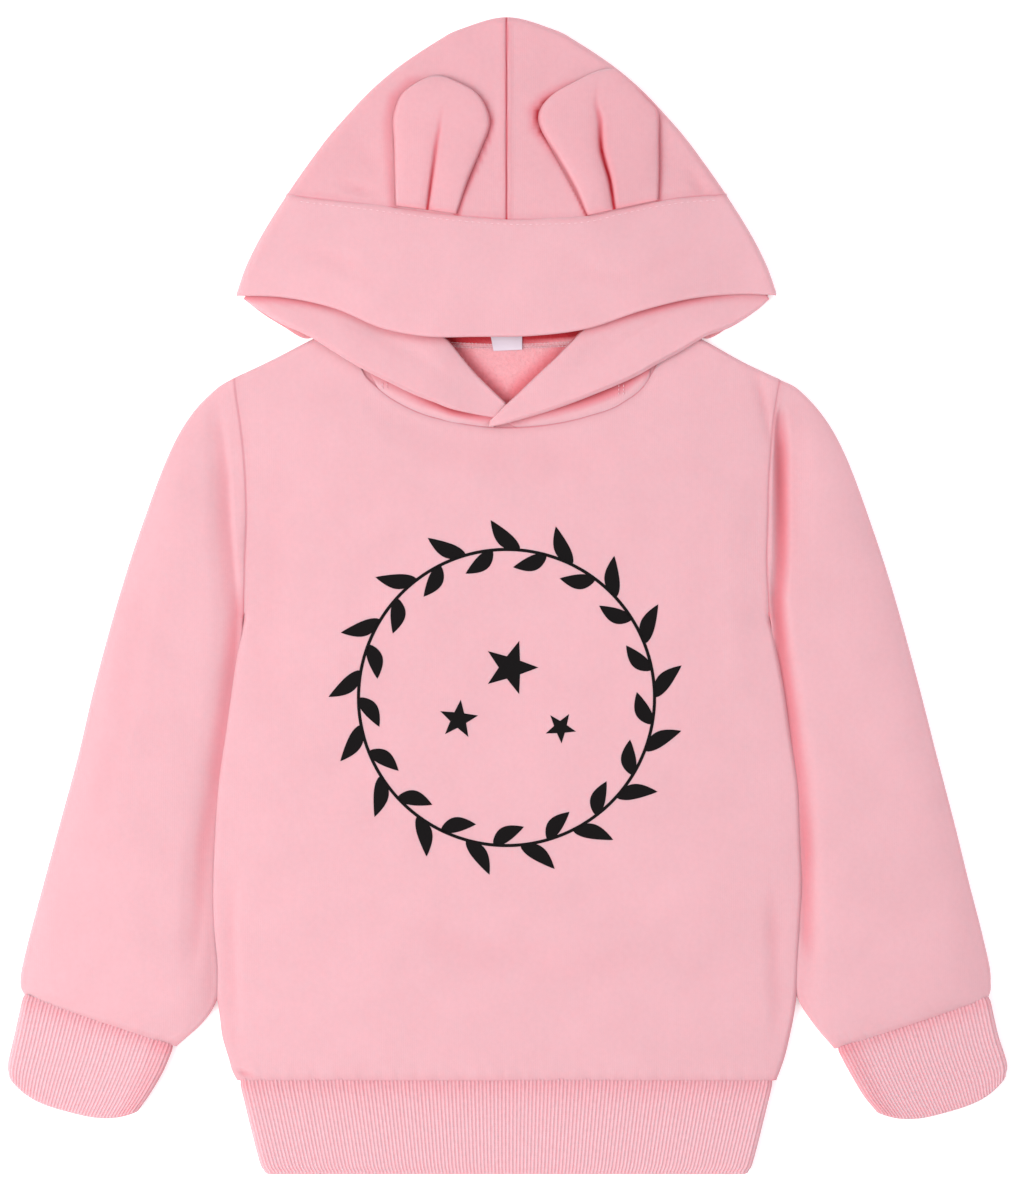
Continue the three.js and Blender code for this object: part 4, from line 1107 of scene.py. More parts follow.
def band_lift(x, y, down, seam):
    """Height of the band's outer face above its fold"""
    swell = 0.9 * math.sin(math.pi * down)
    groove = 0.6 * SEAM_GROOVE * bell((seam - y) / SEAM_GROOVE_WIDTH)
    uneven = ripple(x, y, BAND_WAVES)
    return hood_rise(x, y) + swell + uneven - groove - band_crease(x, y)


def band_point(share, down):
    """Point of the hood band's outer face: share from -1 to 1 across, down from seam to edge"""
    turn_share = 0.06
    end_y = mix(BAND_SEAM[0].y, BAND_EDGE[0].y, down)
    end_x = fold_x_at(end_y)
    angle = math.pi / 2
    if abs(share) > 1 - turn_share:
        angle *= (1 - abs(share)) / turn_share
        x = math.copysign(end_x - HOOD_FOLD * (1 - math.cos(angle)), share)
    else:
        x = (end_x - HOOD_FOLD) * share / (1 - turn_share)
    across = x / end_x
    seam = band_seam(across * BAND_SEAM[-1].x)
    edge = band_edge(across * BAND_EDGE[-1].x)
    y = mix(seam, edge, down)
    flat = math.sin(angle)
    z = HOOD_FOLD + SEAM + (HOOD_FOLD - SEAM) * flat + band_lift(x, y, down, seam) * flat
    return Vector((x, y, z))


def make_hood_band(name, materials, cloth):
    """Doubled band across the face opening, with its fold along the free edge"""
    columns, rows, edge_rows = 150, 34, 6

    def place(i, j):
        share = 2 * i / columns - 1
        spot = band_point(share, clamp(j / rows) ** 1.25)
        if j == 0:
            spot.y += BAND_TUCK
            spot.z -= BAND_SINK
        turned = math.pi / 2 * clamp((j - rows) / edge_rows)
        spot.y -= cloth / 2 * math.sin(turned)
        spot.z -= cloth / 2 * (1 - math.cos(turned))
        return spot

    # Painted shade along the band seam, in the creases and on the turned free edge
    def painted_shade(spot, i, j):
        shade = seam_shade(band_seam(spot.x) - spot.y, 0.18, 0.05)
        shade += crease_shade(band_crease(spot.x, spot.y))
        return shade + 0.1 * ease((j - rows) / edge_rows)

    return make_cloth(name, materials, columns, rows + edge_rows, place, painted_shade, side=1)


def roll_outline(row):
    """Points of a rolled stretch's section, from the free edge over the top, round the fold, out
    along the lip to the neckline seam, and back underneath"""
    edge = Vector((row.edge_x, row.edge_y, 0))
    fold = Vector((row.fold_x, row.fold_y, 0))
    inwards = edge - fold
    width = inwards.length
    inwards.normalize()

    def at(w, z):
        return fold + inwards * w + Vector((0, 0, z))

    radius = (row.fold_top - row.fold_base) / 2
    edge_base = row.edge_top - ROLL_CLOTH
    points = [
        at(width, row.edge_top - ROLL_CLOTH / 2),
        at(width - min(0.7, width * 0.1), row.edge_top - 0.2),
    ]
    for share in (0.85, 0.7, 0.55, 0.4):
        w = mix(radius, width, share)
        points.append(at(w, mix(row.fold_top, row.edge_top, share ** 0.8)))
    for degrees in (90, 60, 30, 0, -40):
        angle = math.radians(degrees)
        points.append(at(radius * (1 - math.cos(angle)), row.fold_base + radius * (1 + math.sin(angle))))
    if row.seam_x is None:
        points.append(at(radius * 0.6, row.fold_base + 0.1))
        points.extend(at(mix(radius, width * 0.6, share), row.fold_base) for share in (0, 0.33, 0.67))
    else:
        seam = Vector((row.seam_x, row.seam_y - 1.0, -0.35))
        drop = LIP_TOP - row.fold_base + 0.5 if row.fold_base > LIP_TOP + 0.6 else 0
        points.append(at(radius, row.fold_base + drop))
        points.append(seam + Vector((0, 0, LIP_TOP)))
        points.append(seam + Vector((0, 0, LIP_TOP - LIP_CLOTH)))
        points.append(at(max(radius, 2), LIP_TOP - LIP_CLOTH + drop / 2))
    under = points[-1].z
    points.append(at(width * 0.6, mix(under, edge_base, 0.6)))
    points.append(at(width - min(0.3, width * 0.1), edge_base + 0.1))
    return points


def make_roll(name, rows, strokes, deepest, materials):
    """Rolled stretch of the band, smooth along its length and round its section. Deepest is where
    the painted shade under its fold is strongest, and how far that reaches along it."""
    steps, around = 9, 3
    outlines = [roll_outline(row) for row in rows]
    count = len(outlines[0])
    tracks = []
    for n in range(count):
        spots = [outline[n] for outline in outlines]
        tracks.append([Smooth(range(len(spots)), [spot[axis] for spot in spots]) for axis in range(3)])
    crease = creases(strokes)

    def place(i, j):
        t = j / steps
        ring = [Vector([line(t) for line in track]) for track in tracks]
        k, part = divmod(i, around)
        before, a, b, after = (ring[(k + off) % count] for off in (-1, 0, 1, 2))
        share = part / around
        low, high = (b - before) / 2, (after - a) / 2
        soft = 2 * a - 2 * b + low + high
        spot = a + share * (low + share * (3 * b - 3 * a - 2 * low - high + share * soft))
        if 1 <= k <= 6:
            uneven = ripple(spot.x, spot.y, ROLL_WAVES)
            inside = ease(min(k - 1 + share, 7 - k - share) / 1.5)
            spot.z += (uneven - crease(spot.x, spot.y)) * inside
        return spot

    fold_x, fold_y, edge_x, edge_y = by_row(rows, "fold_x fold_y edge_x edge_y")
    middle_x, reach = deepest

    # Painted shadow under the band's free edge, and painted shade on the lip just beyond the rolled fold
    def painted_shade(spot, i, j):
        k, t = i / around, j / steps
        under_band = 0.3 + 0.4 * bell((spot.x - 80) / 42) + 0.35 * bell((spot.x + 115) / 45)
        shade = under_band * bell((band_edge(spot.x) - spot.y) / 6)
        if k > 9:
            inwards = Vector((edge_x(t) - fold_x(t), edge_y(t) - fold_y(t))).normalized()
            beyond = -(spot.xy - Vector((fold_x(t), fold_y(t)))).dot(inwards)
            strength = 0.3 + 0.5 * bell((spot.x - middle_x) / reach)
            shade += strength * bell(max(beyond, 0) / 3.6)
        return shade

    columns = count * around
    return make_cloth(name, materials, columns, (len(rows) - 1) * steps, place, painted_shade, wrapped=True, caps=True)


def make_ear(name, rows, materials):
    """Ear of two layers sewn and turned, with a pleat that runs up from the band seam"""
    steps, over, under = 9, 64, 14
    last = len(rows) - 1
    left_x, left_y, right_x, right_y, pleat_at, depth_at = by_row(rows, EAR_COLUMNS)

    def place(i, j):
        t = j / steps
        share = i / over if i <= over else 1 - (i - over) / under
        x, y = mix(left_x(t), right_x(t), share), mix(left_y(t), right_y(t), share)
        y += 1.5 * (1 - (2 * share - 1) ** 2) * ease((t / last - 0.7) / 0.3)
        base = HOOD_FOLD * 2 + max(hood_rise(x, y), hood_rise(x, y - 3)) + SEAM / 2
        if i > over:
            return Vector((x, y, base))
        across = max(0, 1 - abs(2 * share - 1) ** 5) ** 0.5
        along = max(0, 1 - (t / last) ** 5) ** 0.5 * mix(0.25, 1, ease(t / 1.3))
        full = mix(EAR_EDGE * ease(min(share, 1 - share) / 0.03), EAR_THICKNESS, across * along)
        beside = share - pleat_at(t)
        slope = 0.16 if beside < 0 else 0.08
        pleat = depth_at(t) * (0.7 * bell(beside / 0.045) + 0.3 * bell(beside / slope))
        return Vector((x, y, base + max(full - pleat, 0.8)))

    # Painted shade on the ear's underside and side walls, along its pleat and its edges, at its base and
    # faintly all over
    def painted_shade(spot, i, j):
        if i > over:
            return 0.5
        t, share = j / steps, i / over
        beside = share - pleat_at(t)
        pleat = depth_at(t) * (0.32 * bell(beside / 0.035) + 0.05 * bell(beside / 0.12))
        edge = 0.42 * (1 - ease(min(share, 1 - share) / 0.025))
        return HOOD_PAINTED_SHADE + pleat + edge + 0.2 * bell(t / 0.15)

    return make_cloth(name, materials, over + under, last * steps, place, painted_shade, wrapped=True, caps=True)


def make_label(name, material):
    """Satin ribbon folded double, with its fold hanging out of the back neck seam"""
    columns, fold_steps, flat_steps = 12, 6, 10
    gap = 0.5
    length = LABEL_HIGH - LABEL_LOW

    def place(i, j):
        across = i / columns
        radius = LABEL_CLOTH / 2 + gap / 2
        if j <= flat_steps:
            y, z = LABEL_HIGH - length * j / flat_steps, radius * 2
        elif j <= flat_steps + fold_steps:
            angle = math.pi * (j - flat_steps) / fold_steps
            y, z = LABEL_LOW - radius * math.sin(angle), radius * (1 + math.cos(angle))
        else:
            y, z = LABEL_LOW + length * (j - flat_steps - fold_steps) / flat_steps, 0.0
        x = mix(LABEL_LEFT + LABEL_LEAN * (LABEL_HIGH - y) / length, LABEL_RIGHT, across)
        tilt = LABEL_TILT * across
        return Vector((x, y + tilt, LABEL_BASE + z + 0.15 * math.sin((x + y) * 0.3)))

    return make_cloth(name, [material], columns, flat_steps * 2 + fold_steps, place)


# Sewing
def add_stitches(bm, path, pitch, length, width, height_at, sink=0.0):
    """Short thread stitches along a path of points in the plane, lying on the surface"""
    travelled = 0.0
    next_at = pitch / 2
    for a, b in zip(path, path[1:]):
        step = (b - a).length
        while next_at <= travelled + step:
            spot = a.lerp(b, (next_at - travelled) / step)
            along = (b - a).normalized()
            ahead = spot + along * length / 2
            behind = spot - along * length / 2
            rise = height_at(ahead.x, ahead.y) - height_at(behind.x, behind.y)
            direction = Vector((along.x * length, along.y * length, rise)).normalized()
            turn = direction.to_track_quat("X", "Z").to_matrix().to_4x4()
            centre = Vector((spot.x, spot.y, height_at(spot.x, spot.y) - sink)) + SHIFT
            size = Matrix.Diagonal((length / 2 * MM, width / 2 * MM, width / 2 * MM, 1))
            place = Matrix.Translation(centre * MM) @ turn @ size
            bmesh.ops.create_uvsphere(bm, u_segments=6, v_segments=4, radius=1, matrix=place)
            next_at += pitch
        travelled += step


# Chest print: a wreath of slim leaves round three stars
def on_chest(x, y):
    """Place of the ink over a point of the front panel"""
    return Vector((x, y, front_height(x, y) + INK_LIFT))


def add_leaf(bm, root, angle, length):
    """Slim leaf of ink that lies on the chest"""
    columns, rows = 14, 4
    along = Vector((math.cos(angle), math.sin(angle)))
    across = Vector((-along.y, along.x))

    def place(i, j):
        t = i / columns
        half = LEAF_WIDTH / 2 * math.sin(math.pi * t ** 0.8) ** 0.9
        bowed = 0.08 * length * math.sin(math.pi * t)
        spot = root + along * (length * t) + across * (mix(-half, half, j / rows) + bowed)
        return on_chest(spot.x, spot.y)

    add_patch(bm, columns, rows, place)


def add_stem(bm, centre, radius):
    """Thin ring of ink that the leaves grow from"""
    columns = 180

    def place(i, j):
        angle = 2 * math.pi * i / columns
        reach = radius + (j - 0.5) * STEM_WIDTH
        return on_chest(centre.x + reach * math.cos(angle), centre.y + reach * math.sin(angle))

    add_patch(bm, columns, 1, place)


def add_star(bm, centre, radius, turn):
    """Five-pointed star of ink"""
    made = bmesh.ops.create_circle(bm, cap_ends=True, cap_tris=True, segments=10, radius=1)
    rim = [vert for vert in made["verts"] if vert.co.length > 0.5]
    for step, vert in enumerate(sorted(rim, key=lambda v: math.atan2(v.co.y, v.co.x))):
        if step % 2:
            vert.co *= 0.42
    for vert in made["verts"]:
        flat = Matrix.Rotation(turn, 3, "Z") @ vert.co
        spot = on_chest(centre.x + flat.x * radius, centre.y + flat.y * radius)
        vert.co = (spot + SHIFT) * MM


# Materials
def linear(code):
    """Linear colour from an sRGB hex value"""
    channels = [int(code[at:at + 2], 16) / 255 for at in (1, 3, 5)]
    return [c / 12.92 if c <= 0.04045 else ((c + 0.055) / 1.055) ** 2.4 for c in channels]


def per_mm(size):
    """Scale of a noise whose patches are about this many millimetres across"""
    return 1000 / size


def wave_per_mm(period):
    """Scale of a wave texture whose bands repeat after this many millimetres"""
    return math.pi / 10 * 1000 / period


def add_node(tree, kind, inputs=(), **settings):
    """Node of one kind, with its settings and the values or links of its inputs"""
    node = tree.nodes.new(kind)
    for name, value in settings.items():
        setattr(node, name, value)
    for socket, value in dict(inputs).items():
        if isinstance(value, bpy.types.NodeSocket):
            tree.links.new(value, node.inputs[socket])
        else:
            node.inputs[socket].default_value = value
    return node


def paint_fold_shade(tree, colour):
    """Cloth colour with painted shade: a warmer, deeper tone where the Shade attribute rises, standing
    in for the dimmer, redder light in a fold, which has already passed through and off the same pink
    cloth"""
    fold = add_node(tree, "ShaderNodeAttribute", attribute_name="Shade")
    tone = add_node(tree, "ShaderNodeValToRGB", {"Fac": fold.outputs["Fac"]})
    tone.color_ramp.elements[0].color = OPEN_CLOTH
    tone.color_ramp.elements[1].color = TIGHT_FOLD
    middle = tone.color_ramp.elements.new(SOFT_FOLD_AT)
    middle.color = SOFT_FOLD
    mixed = add_node(
        tree,
        "ShaderNodeMix",
        {0: 1.0, 6: colour, 7: tone.outputs["Color"]},
        data_type="RGBA",
        blend_type="MULTIPLY",
    )
    return mixed.outputs[2]


def shade(colour, factor):
    return (*(clamp(channel * factor) for channel in colour), 1)


def new_material(name):
    """Empty material, with its node tree and the place of each point in the piece's coordinates"""
    material = bpy.data.materials.new(name)
    material.use_nodes = True
    tree = material.node_tree
    tree.nodes.clear()
    return material, tree, add_node(tree, "ShaderNodeTexCoord").outputs["Object"]


def end_material(tree, colour, pattern, tones, height, bump, roughness, folds=False, **values):
    """Rest of a finish: the lightest and darkest tone of its pattern, each a place on the pattern
    and a factor of the colour, the bump of its height, a strength and a depth in metres, and the
    shader with its constant values on its own sockets. Folds paints shade into the colour by the
    Shade attribute."""
    ramp = add_node(tree, "ShaderNodeValToRGB", {"Fac": pattern})
    for element, (position, factor) in zip(ramp.color_ramp.elements, tones):
        element.position = position
        element.color = shade(colour, factor)
    strength, depth = bump
    relief = add_node(tree, "ShaderNodeBump", {"Height": height, "Strength": strength, "Distance": depth})
    dyed = ramp.outputs["Color"]
    shader = add_node(
        tree,
        "ShaderNodeBsdfPrincipled",
        {
            "Base Color": paint_fold_shade(tree, dyed) if folds else dyed,
            "Normal": relief.outputs["Normal"],
            "Roughness": roughness,
            "Sheen Weight": values.get("sheen", 0.0),
            "Sheen Roughness": 0.5,
            "Sheen Tint": (1.0, 0.66, 0.7, 1.0),
            "Specular IOR Level": values["specular"],
            "Emission Color": (1, 1, 1, 1),
            "Emission Strength": values.get("glow", 0.0),
            "Subsurface Weight": values.get("subsurface", 0.0),
            "Subsurface Radius": (1.0, 0.3, 0.32),
            "Subsurface Scale": 0.005,
        },
    )
    add_node(tree, "ShaderNodeOutputMaterial", {"Surface": shader.outputs["BSDF"]})


def brushed_cotton_jersey(name, colour):
    """Cotton-polyester sweatshirt knit: soft and matt, with a faint mottle from the heathered yarn
    and a fine grain of knit stitches, drawn at 1.1 mm so that they show"""
    mottle = 0.035
    material, tree, place = new_material(name)
    patches = add_node(tree, "ShaderNodeTexNoise", {"Vector": place, "Scale": per_mm(24), "Detail": 3.0})
    yarn = add_node(tree, "ShaderNodeTexNoise", {"Vector": place, "Scale": per_mm(2.2), "Detail": 4.0})
    heather = {"Factor": 0.45, "A": patches.outputs["Fac"], "B": yarn.outputs["Fac"]}
    tone = add_node(tree, "ShaderNodeMix", heather)
    rows = {"Vector": place, "Scale": wave_per_mm(1.1), "Distortion": 1.2, "Detail": 2.0}
    wales = add_node(tree, "ShaderNodeTexWave", rows)
    nap = add_node(tree, "ShaderNodeTexNoise", {"Vector": place, "Scale": per_mm(0.9), "Detail": 5.0})
    surface = {"Factor": 0.7, "A": wales.outputs["Fac"], "B": nap.outputs["Fac"]}
    grain = add_node(tree, "ShaderNodeMix", surface)
    tones = ((0.3, 1 - mottle), (0.7, 1 + mottle))
    finish = {"sheen": 0.25, "specular": 0.1, "subsurface": 0.35, "folds": True}
    pattern, height = tone.outputs["Result"], grain.outputs["Result"]
    end_material(tree, colour, pattern, tones, height, (0.18, 0.0003), 0.88, **finish)
    return material


def brushed_fleece(name, colour):
    """Brushed loop-back inside: matt and fuzzy, with small tufts. Its colour is deeper than the
    outside's, partly as painted shade for light bounced between the pink surfaces.
    """
    material, tree, place = new_material(name)
    tufts = add_node(tree, "ShaderNodeTexNoise", {"Vector": place, "Scale": per_mm(1.6), "Detail": 5.0})
    tones = ((0.3, 0.95), (0.7, 1.05))
    finish = {"sheen": 0.15, "specular": 0.06, "subsurface": 0.35, "folds": True}
    pile = tufts.outputs["Fac"]
    end_material(tree, colour, pile, tones, pile, (0.7, 0.0008), 0.95, **finish)
    return material


def cotton_rib_knit(name, colour):
    """One-by-one rib of cotton with elastane: matt ridges with small stitches across them"""
    material, tree, place = new_material(name)
    yarn = add_node(tree, "ShaderNodeTexNoise", {"Vector": place, "Scale": per_mm(1.8), "Detail": 4.0})
    rows = {"Vector": place, "Scale": wave_per_mm(1.2), "Distortion": 1.5, "Detail": 2.0}
    courses = add_node(tree, "ShaderNodeTexWave", rows, bands_direction="Y")
    tones = ((0.25, 0.94), (0.75, 1.05))
    finish = {"sheen": 0.2, "specular": 0.1, "subsurface": 0.35, "folds": True}
    pattern, height = yarn.outputs["Fac"], courses.outputs["Fac"]
    end_material(tree, colour, pattern, tones, height, (0.2, 0.0003), 0.88, **finish)
    return material


def satin_ribbon(name, colour):
    """Woven polyester satin: white with a soft shine and a fine cross thread"""
    material, tree, place = new_material(name)
    cross = {"Vector": place, "Scale": wave_per_mm(0.6)}
    threads = add_node(tree, "ShaderNodeTexWave", cross, bands_direction="Y").outputs["Fac"]
    tones = ((0, 0.95), (1, 1.0))
    end_material(tree, colour, threads, tones, threads, (0.2, 0.0002), 0.42, specular=0.5)
    return material


def spun_polyester_thread(name, colour):
    """Two-ply sewing thread: a little glossier than the cloth, with its twist as a slant wave"""
    material, tree, place = new_material(name)
    slant = {"Vector": place, "Scale": wave_per_mm(0.5)}
    twist = add_node(tree, "ShaderNodeTexWave", slant, bands_direction="DIAGONAL").outputs["Fac"]
    tones = ((0, 0.92), (1, 1.04))
    end_material(tree, colour, twist, tones, twist, (0.3, 0.0001), 0.55, specular=0.4)
    return material


def screen_print_ink(name, colour):
    """Water-based ink printed through a screen: matt black that lets the knit's grain show"""
    material, tree, place = new_material(name)
    fine = {"Vector": place, "Scale": per_mm(0.9), "Detail": 4.0}
    grain = add_node(tree, "ShaderNodeTexNoise", fine).outputs["Fac"]
    tones = ((0, 0.8), (1, 1.6))
    end_material(tree, colour, grain, tones, grain, (0.3, 0.0002), 0.75, specular=0.12)
    return material


def pale_paper(name, colour):
    """Seamless studio paper: white and matt, with a faint tooth, lit from below as on a light table
    so that the shadows round the garment stay pale"""
    material, tree, place = new_material(name)
    rough = {"Vector": place, "Scale": per_mm(3)}
    tooth = add_node(tree, "ShaderNodeTexNoise", rough).outputs["Fac"]
    tones = ((0, 0.995), (1, 1.0))
    end_material(tree, colour, tooth, tones, tooth, (0.02, 0.0001), 0.9, specular=0.0, glow=0.3)
    return material


def finish_of(name, context):
    """Material of one of the garment's finishes, made the first time it is asked for"""
    colours = context.scene.hoodie_colours
    makers = {
        "Brushed cotton jersey": (brushed_cotton_jersey, colours.jersey),
        "Brushed fleece inside": (brushed_fleece, colours.inside),
        "Cotton rib knit": (cotton_rib_knit, colours.rib),
        "Satin ribbon": (satin_ribbon, colours.ribbon),
        "Spun polyester thread": (spun_polyester_thread, colours.thread),
        "Screen-print ink": (screen_print_ink, colours.ink),
        "Pale studio paper": (pale_paper, colours.paper),
    }
    make, colour = makers[name]
    return bpy.data.materials.get(name) or make(name, colour)


def cloth_finishes(context):
    return finish_of("Brushed cotton jersey", context), finish_of("Brushed fleece inside", context)


# Sizes and colours that a user would change
class HoodieSizes(bpy.types.PropertyGroup):
    cloth: FloatProperty(
        name="Cloth",
        description="Thickness of the sweatshirt cloth",
        default=2.4 * MM,
        min=0.0005,
        unit="LENGTH",
    )
    band_cloth: FloatProperty(
        name="Hood band",
        description="Thickness of the doubled hood band",
        default=2.6 * MM,
        min=0.0005,
        unit="LENGTH",
    )
    rib_cloth: FloatProperty(
        name="Rib band",
        description="Thickness of the doubled rib bands",
        default=2.6 * MM,
        min=0.0005,
        unit="LENGTH",
    )
    rib_pitch: FloatProperty(
        name="Rib pitch",
        description="Distance from one rib to the next",
        default=1.94 * MM,
        min=0.001,
        unit="LENGTH",
    )
    rib_height: FloatProperty(
        name="Rib height",
        description="Height of a rib over its groove",
        default=0.6 * MM,
        min=0.0,
        unit="LENGTH",
    )
    stitch_pitch: FloatProperty(
        name="Stitch pitch",
        description="Distance between topstitches",
        default=3.2 * MM,
        min=0.001,
        unit="LENGTH",
    )
    wreath_radius: FloatProperty(
        name="Wreath radius",
        description="Radius of the printed wreath",
        default=74 * MM,
        min=0.02,
        unit="LENGTH",
    )
    leaves: IntProperty(name="Leaves", description="Leaves in the printed wreath", default=34, min=6, max=80)


class HoodieColours(bpy.types.PropertyGroup):
    jersey: FloatVectorProperty(
        name="Jersey",
        description="Outside of the cloth",
        subtype="COLOR",
        size=3,
        default=linear("#DEACB3"),
    )
    # The inside's colour is a little deeper than the jersey's, partly as painted shade for light bounced
    # between the pink surfaces
    inside: FloatVectorProperty(
        name="Inside",
        description="Brushed inside of the cloth",
        subtype="COLOR",
        size=3,
        default=linear("#E6A6AC"),
    )
    rib: FloatVectorProperty(
        name="Rib",
        description="Cuffs and hem band",
        subtype="COLOR",
        size=3,
        default=linear("#E2B7BE"),
    )
    ribbon: FloatVectorProperty(
        name="Ribbon",
        description="Neck label",
        subtype="COLOR",
        size=3,
        default=linear("#DFD4E0"),
    )
    thread: FloatVectorProperty(
        name="Thread",
        description="Sewing thread",
        subtype="COLOR",
        size=3,
        default=linear("#ECC2C9"),
    )
    ink: FloatVectorProperty(
        name="Ink",
        description="Chest print",
        subtype="COLOR",
        size=3,
        default=linear("#0B0809"),
    )
    paper: FloatVectorProperty(
        name="Paper",
        description="Floor",
        subtype="COLOR",
        size=3,
        default=linear("#FDFDFD"),
    )


class PieceOperator:
    """What the operators share"""

    bl_options = {"REGISTER", "UNDO"}

    @classmethod
    def poll(cls, context):
        return context.scene is not None


class HOODIE_OT_body(PieceOperator, bpy.types.Operator):
    """Make the front and back panels"""

    bl_idname = "hoodie.body"
    bl_label = "Body Panels"

    def execute(self, context):
        sizes = context.scene.hoodie_sizes
        finishes = cloth_finishes(context)
        front = make_panel("hoodie_front", 150, 180, 1, front_top, front_relief, front_painted_shade, finishes)
        back = make_panel("hoodie_back", 100, 120, -1, back_top, back_crease, back_painted_shade, finishes)
        for piece in (front, back):
            give_thickness(piece, sizes.cloth)
        on_body(front, "fleece", "front_panel")
        on_body(back, "fleece", "back_panel")
        return {"FINISHED"}


class HOODIE_OT_sleeves(PieceOperator, bpy.types.Operator):
    """Make both sleeves"""

    bl_idname = "hoodie.sleeves"
    bl_label = "Sleeves"

    def execute(self, context):
        sizes = context.scene.hoodie_sizes
        finishes = cloth_finishes(context)
        for name, sections, side_x, strokes, side_shade, node in (
            ("hoodie_sleeve_left", LEFT_SLEEVE, side_left, LEFT_SLEEVE_CREASES, 0.22, "sleeve_left"),
            ("hoodie_sleeve_right", RIGHT_SLEEVE, side_right, RIGHT_SLEEVE_CREASES, 0.2, "sleeve_right"),
        ):
            piece = make_sleeve(name, sections, side_x, strokes, side_shade, finishes)
            give_thickness(piece, sizes.cloth)
            on_body(piece, "fleece", node)
        return {"FINISHED"}


class HOODIE_OT_rib_bands(PieceOperator, bpy.types.Operator):
    """Make the cuffs and the hem band"""

    bl_idname = "hoodie.rib_bands"
    bl_label = "Cuffs and Hem Band"

    def execute(self, context):
        sizes = context.scene.hoodie_sizes
        finish = finish_of("Cotton rib knit", context)
        for name, sections, forward, side_shade, node, flat in (
            ("hoodie_cuff_left", LEFT_CUFF, 1, 0.12, "cuff_left", (0.166, 0.080)),
            ("hoodie_cuff_right", RIGHT_CUFF, -1, 0.12, "cuff_right", (0.166, 0.080)),
            ("hoodie_hem_band", HEM_BAND, -1, 0.0, "hem_band", (0.536, 0.100)),
        ):
            piece = make_rib_band(name, sections, forward, sizes, side_shade, [finish])
            on_body(piece, "rib", node)
        return {"FINISHED"}


class HOODIE_OT_hood(PieceOperator, bpy.types.Operator):
    """Make the hood's two panels"""

    bl_idname = "hoodie.hood"
    bl_label = "Hood Panels"

    def execute(self, context):
        sizes = context.scene.hoodie_sizes
        finishes = cloth_finishes(context)
        for name, side, node in (
            ("hoodie_hood_left", -1, "hood_panel_left"),
            ("hoodie_hood_right", 1, "hood_panel_right"),
        ):
            piece = make_hood_panel(name, side, finishes)
            give_thickness(piece, sizes.cloth)
            on_body(piece, "fleece", node)
        return {"FINISHED"}


class HOODIE_OT_hood_band(PieceOperator, bpy.types.Operator):
    """Make the band round the face opening, with its two rolled stretches"""

    bl_idname = "hoodie.hood_band"
    bl_label = "Hood Band"

    def execute(self, context):
        sizes = context.scene.hoodie_sizes
        finishes = cloth_finishes(context)
        band = make_hood_band("hoodie_band", finishes, sizes.band_cloth / MM)
        give_thickness(band, sizes.band_cloth)
        on_body(band, "fleece", "hood_band")
        for name, rows, strokes, deepest, node in (
            ("hoodie_roll_left", LEFT_ROLL, LEFT_ROLL_CREASES, (-27, 26), "hood_band_left"),
            ("hoodie_roll_right", RIGHT_ROLL, RIGHT_ROLL_CREASES, (47, 36), "hood_band_right"),
        ):
            piece = make_roll(name, rows, strokes, deepest, finishes)
            on_body(piece, "fleece", node)
        return {"FINISHED"}


class HOODIE_OT_ears(PieceOperator, bpy.types.Operator):
    """Make both ears"""

    bl_idname = "hoodie.ears"
    bl_label = "Ears"

    def execute(self, context):
        finishes = cloth_finishes(context)
        for name, rows, node in (
            ("hoodie_ear_left", LEFT_EAR, "ear_left"),
            ("hoodie_ear_right", RIGHT_EAR, "ear_right"),
        ):
            piece = make_ear(name, rows, finishes)
            on_body(piece, "fleece", node)
        return {"FINISHED"}


class HOODIE_OT_label(PieceOperator, bpy.types.Operator):
    """Make the blank neck label"""

    bl_idname = "hoodie.label"
    bl_label = "Neck Label"

    def execute(self, context):
        piece = make_label("hoodie_label", finish_of("Satin ribbon", context))
        give_thickness(piece, LABEL_CLOTH * MM)
        on_body(piece, "label", "neck_label")
        return {"FINISHED"}


class HOODIE_OT_sewing(PieceOperator, bpy.types.Operator):
    """Sew the topstitches and overlock threads"""

    bl_idname = "hoodie.sewing"
    bl_label = "Sewing"

    def execute(self, context):
        sizes = context.scene.hoodie_sizes
        thread = finish_of("Spun polyester thread", context)
        pitch = sizes.stitch_pitch / MM
        bm = bmesh.new()

        def band_height(x, y):
            seam = band_seam(x)
            down = (seam - y) / (seam - band_edge(x))
            return HOOD_FOLD * 2 + band_lift(x, y, down, seam)

        def lip_height(x, y):
            return LIP_TOP + 0.5

        def inside_height(x, y):
            return sizes.cloth / MM + 0.3

        path = [Vector((x, band_seam(x) - 2.4)) for x in range(-104, 105, 2)]
        add_stitches(bm, path, pitch, 2.2, 0.5, band_height, 0.08)
        for offset in (1.2, -0.8):
            path = [Vector((x, back_neckline(x) + offset)) for x in range(-34, 46, 2)]
            add_stitches(bm, path, 1.5, 1.7, 0.4, inside_height)
        loops = [Vector((x, back_neckline(x) - 0.8 + (2 if x % 2 else 0))) for x in range(-34, 46)]
        add_stitches(bm, loops, 2.3, 2.1, 0.25, inside_height)
        for x, low, high in ((-60.9, 103.0, 106.6), (57.4, 100.2, 105.0)):
            for side in (-1.2, 1.2):
                path = [Vector((x + side, low)), Vector((x + side, high))]
                add_stitches(bm, path, 1.9, 1.4, 0.5, lip_height)
        piece = make_object("hoodie_topstitch", bm, thread)
        on_body(piece, "fleece")
        return {"FINISHED"}


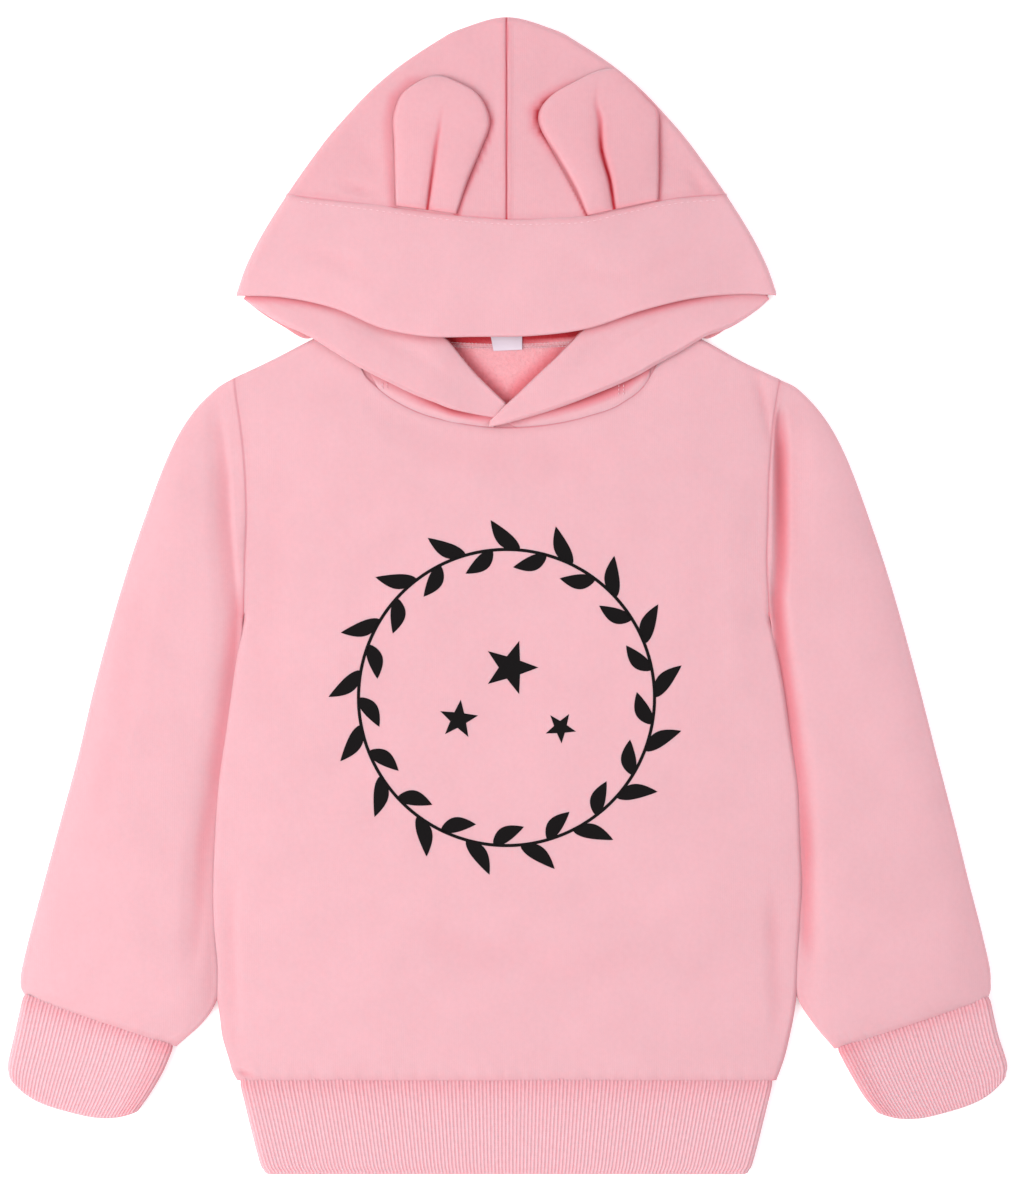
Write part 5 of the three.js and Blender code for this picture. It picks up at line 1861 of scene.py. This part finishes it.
class HOODIE_OT_print(PieceOperator, bpy.types.Operator):
    """Print a generic wreath and stars in black on the chest"""

    bl_idname = "hoodie.chest_print"
    bl_label = "Chest Print"

    def execute(self, context):
        sizes = context.scene.hoodie_sizes
        radius = sizes.wreath_radius / MM
        centre = Vector(PRINT_CENTRE)
        bm = new_cloth()
        for n in range(sizes.leaves):
            around = 2 * math.pi * (n + 0.5) / sizes.leaves + math.pi / 2
            spot = Vector((math.cos(around), math.sin(around)))
            lean = 0.7 if n % 2 else -0.62
            length = 21 if n % 2 else 18
            add_leaf(bm, centre + spot * radius, around + math.pi / 2 - lean, length)
        add_stem(bm, centre, radius)
        for star in STARS:
            add_star(bm, Vector((star.x, star.y)), star.size, star.turn + math.pi / 2)
        face_up(bm)
        piece = make_object("hoodie_print", bm, finish_of("Screen-print ink", context))
        on_body(piece, "fleece")
        return {"FINISHED"}


class HOODIE_OT_studio(PieceOperator, bpy.types.Operator):
    """Set up the pale floor, the soft light and the camera overhead"""

    bl_idname = "hoodie.studio"
    bl_label = "Studio"

    def execute(self, context):
        scene = context.scene
        bm = bmesh.new()
        below = Matrix.Translation((0, 0, -FLOOR_DROP))
        bmesh.ops.create_grid(bm, x_segments=4, y_segments=4, size=FLOOR_REACH, matrix=below)
        floor = make_object("studio_floor", bm, finish_of("Pale studio paper", context))

        world = scene.world or bpy.data.worlds.new("Studio")
        scene.world = world
        world.use_nodes = True
        sky = world.node_tree.nodes.get("Background") or world.node_tree.nodes.new("ShaderNodeBackground")
        sky.inputs["Color"].default_value = (1.0, 0.955, 0.965, 1)
        sky.inputs["Strength"].default_value = 0.51

        for row in LIGHTS:
            lamp = bpy.data.lights.new(row.name, "AREA")
            lamp.size = row.width
            lamp.energy = row.energy
            lamp.color = row.colour
            light = bpy.data.objects.new(row.name, lamp)
            light.location = row.spot
            light.rotation_euler = (-Vector(row.spot)).to_track_quat("-Z", "Y").to_euler()
            scene.collection.objects.link(light)

        lens = bpy.data.cameras.new("camera")
        lens.lens = 100
        lens.sensor_width = 36
        lens.sensor_fit = "AUTO"
        camera = bpy.data.objects.new("camera", lens)
        distance = VIEW_LENGTH * lens.lens / lens.sensor_width
        camera.location = (*VIEW_MIDDLE, distance + VIEW_PLANE)
        scene.collection.objects.link(camera)
        scene.camera = camera
        scene.view_settings.view_transform = "Standard"
        return {"FINISHED"}


OPERATORS = (
    HOODIE_OT_studio,
    HOODIE_OT_body,
    HOODIE_OT_sleeves,
    HOODIE_OT_rib_bands,
    HOODIE_OT_hood,
    HOODIE_OT_hood_band,
    HOODIE_OT_ears,
    HOODIE_OT_label,
    HOODIE_OT_sewing,
    HOODIE_OT_print,
)


class HOODIE_PT_panel(bpy.types.Panel):
    """Lists the pieces, sizes and colours in the sidebar"""

    bl_label = "Toddler Hoodie"
    bl_idname = "HOODIE_PT_panel"
    bl_space_type = "VIEW_3D"
    bl_region_type = "UI"
    bl_category = "Hoodie"

    def draw(self, context):
        layout = self.layout
        for operator in OPERATORS:
            layout.operator(operator.bl_idname)
        for group in (context.scene.hoodie_sizes, context.scene.hoodie_colours):
            box = layout.box()
            for name in group.__annotations__:
                box.prop(group, name)


CLASSES = (HoodieSizes, HoodieColours, *OPERATORS, HOODIE_PT_panel)


def register():
    for cls in CLASSES:
        bpy.utils.register_class(cls)
    bpy.types.Scene.hoodie_sizes = PointerProperty(type=HoodieSizes)
    bpy.types.Scene.hoodie_colours = PointerProperty(type=HoodieColours)


def unregister():
    del bpy.types.Scene.hoodie_colours
    del bpy.types.Scene.hoodie_sizes
    for cls in reversed(CLASSES):
        bpy.utils.unregister_class(cls)


def main():
    register()
    for operator in OPERATORS:
        group, name = operator.bl_idname.split(".")
        getattr(getattr(bpy.ops, group), name)()


if __name__ == "__main__":
    main()
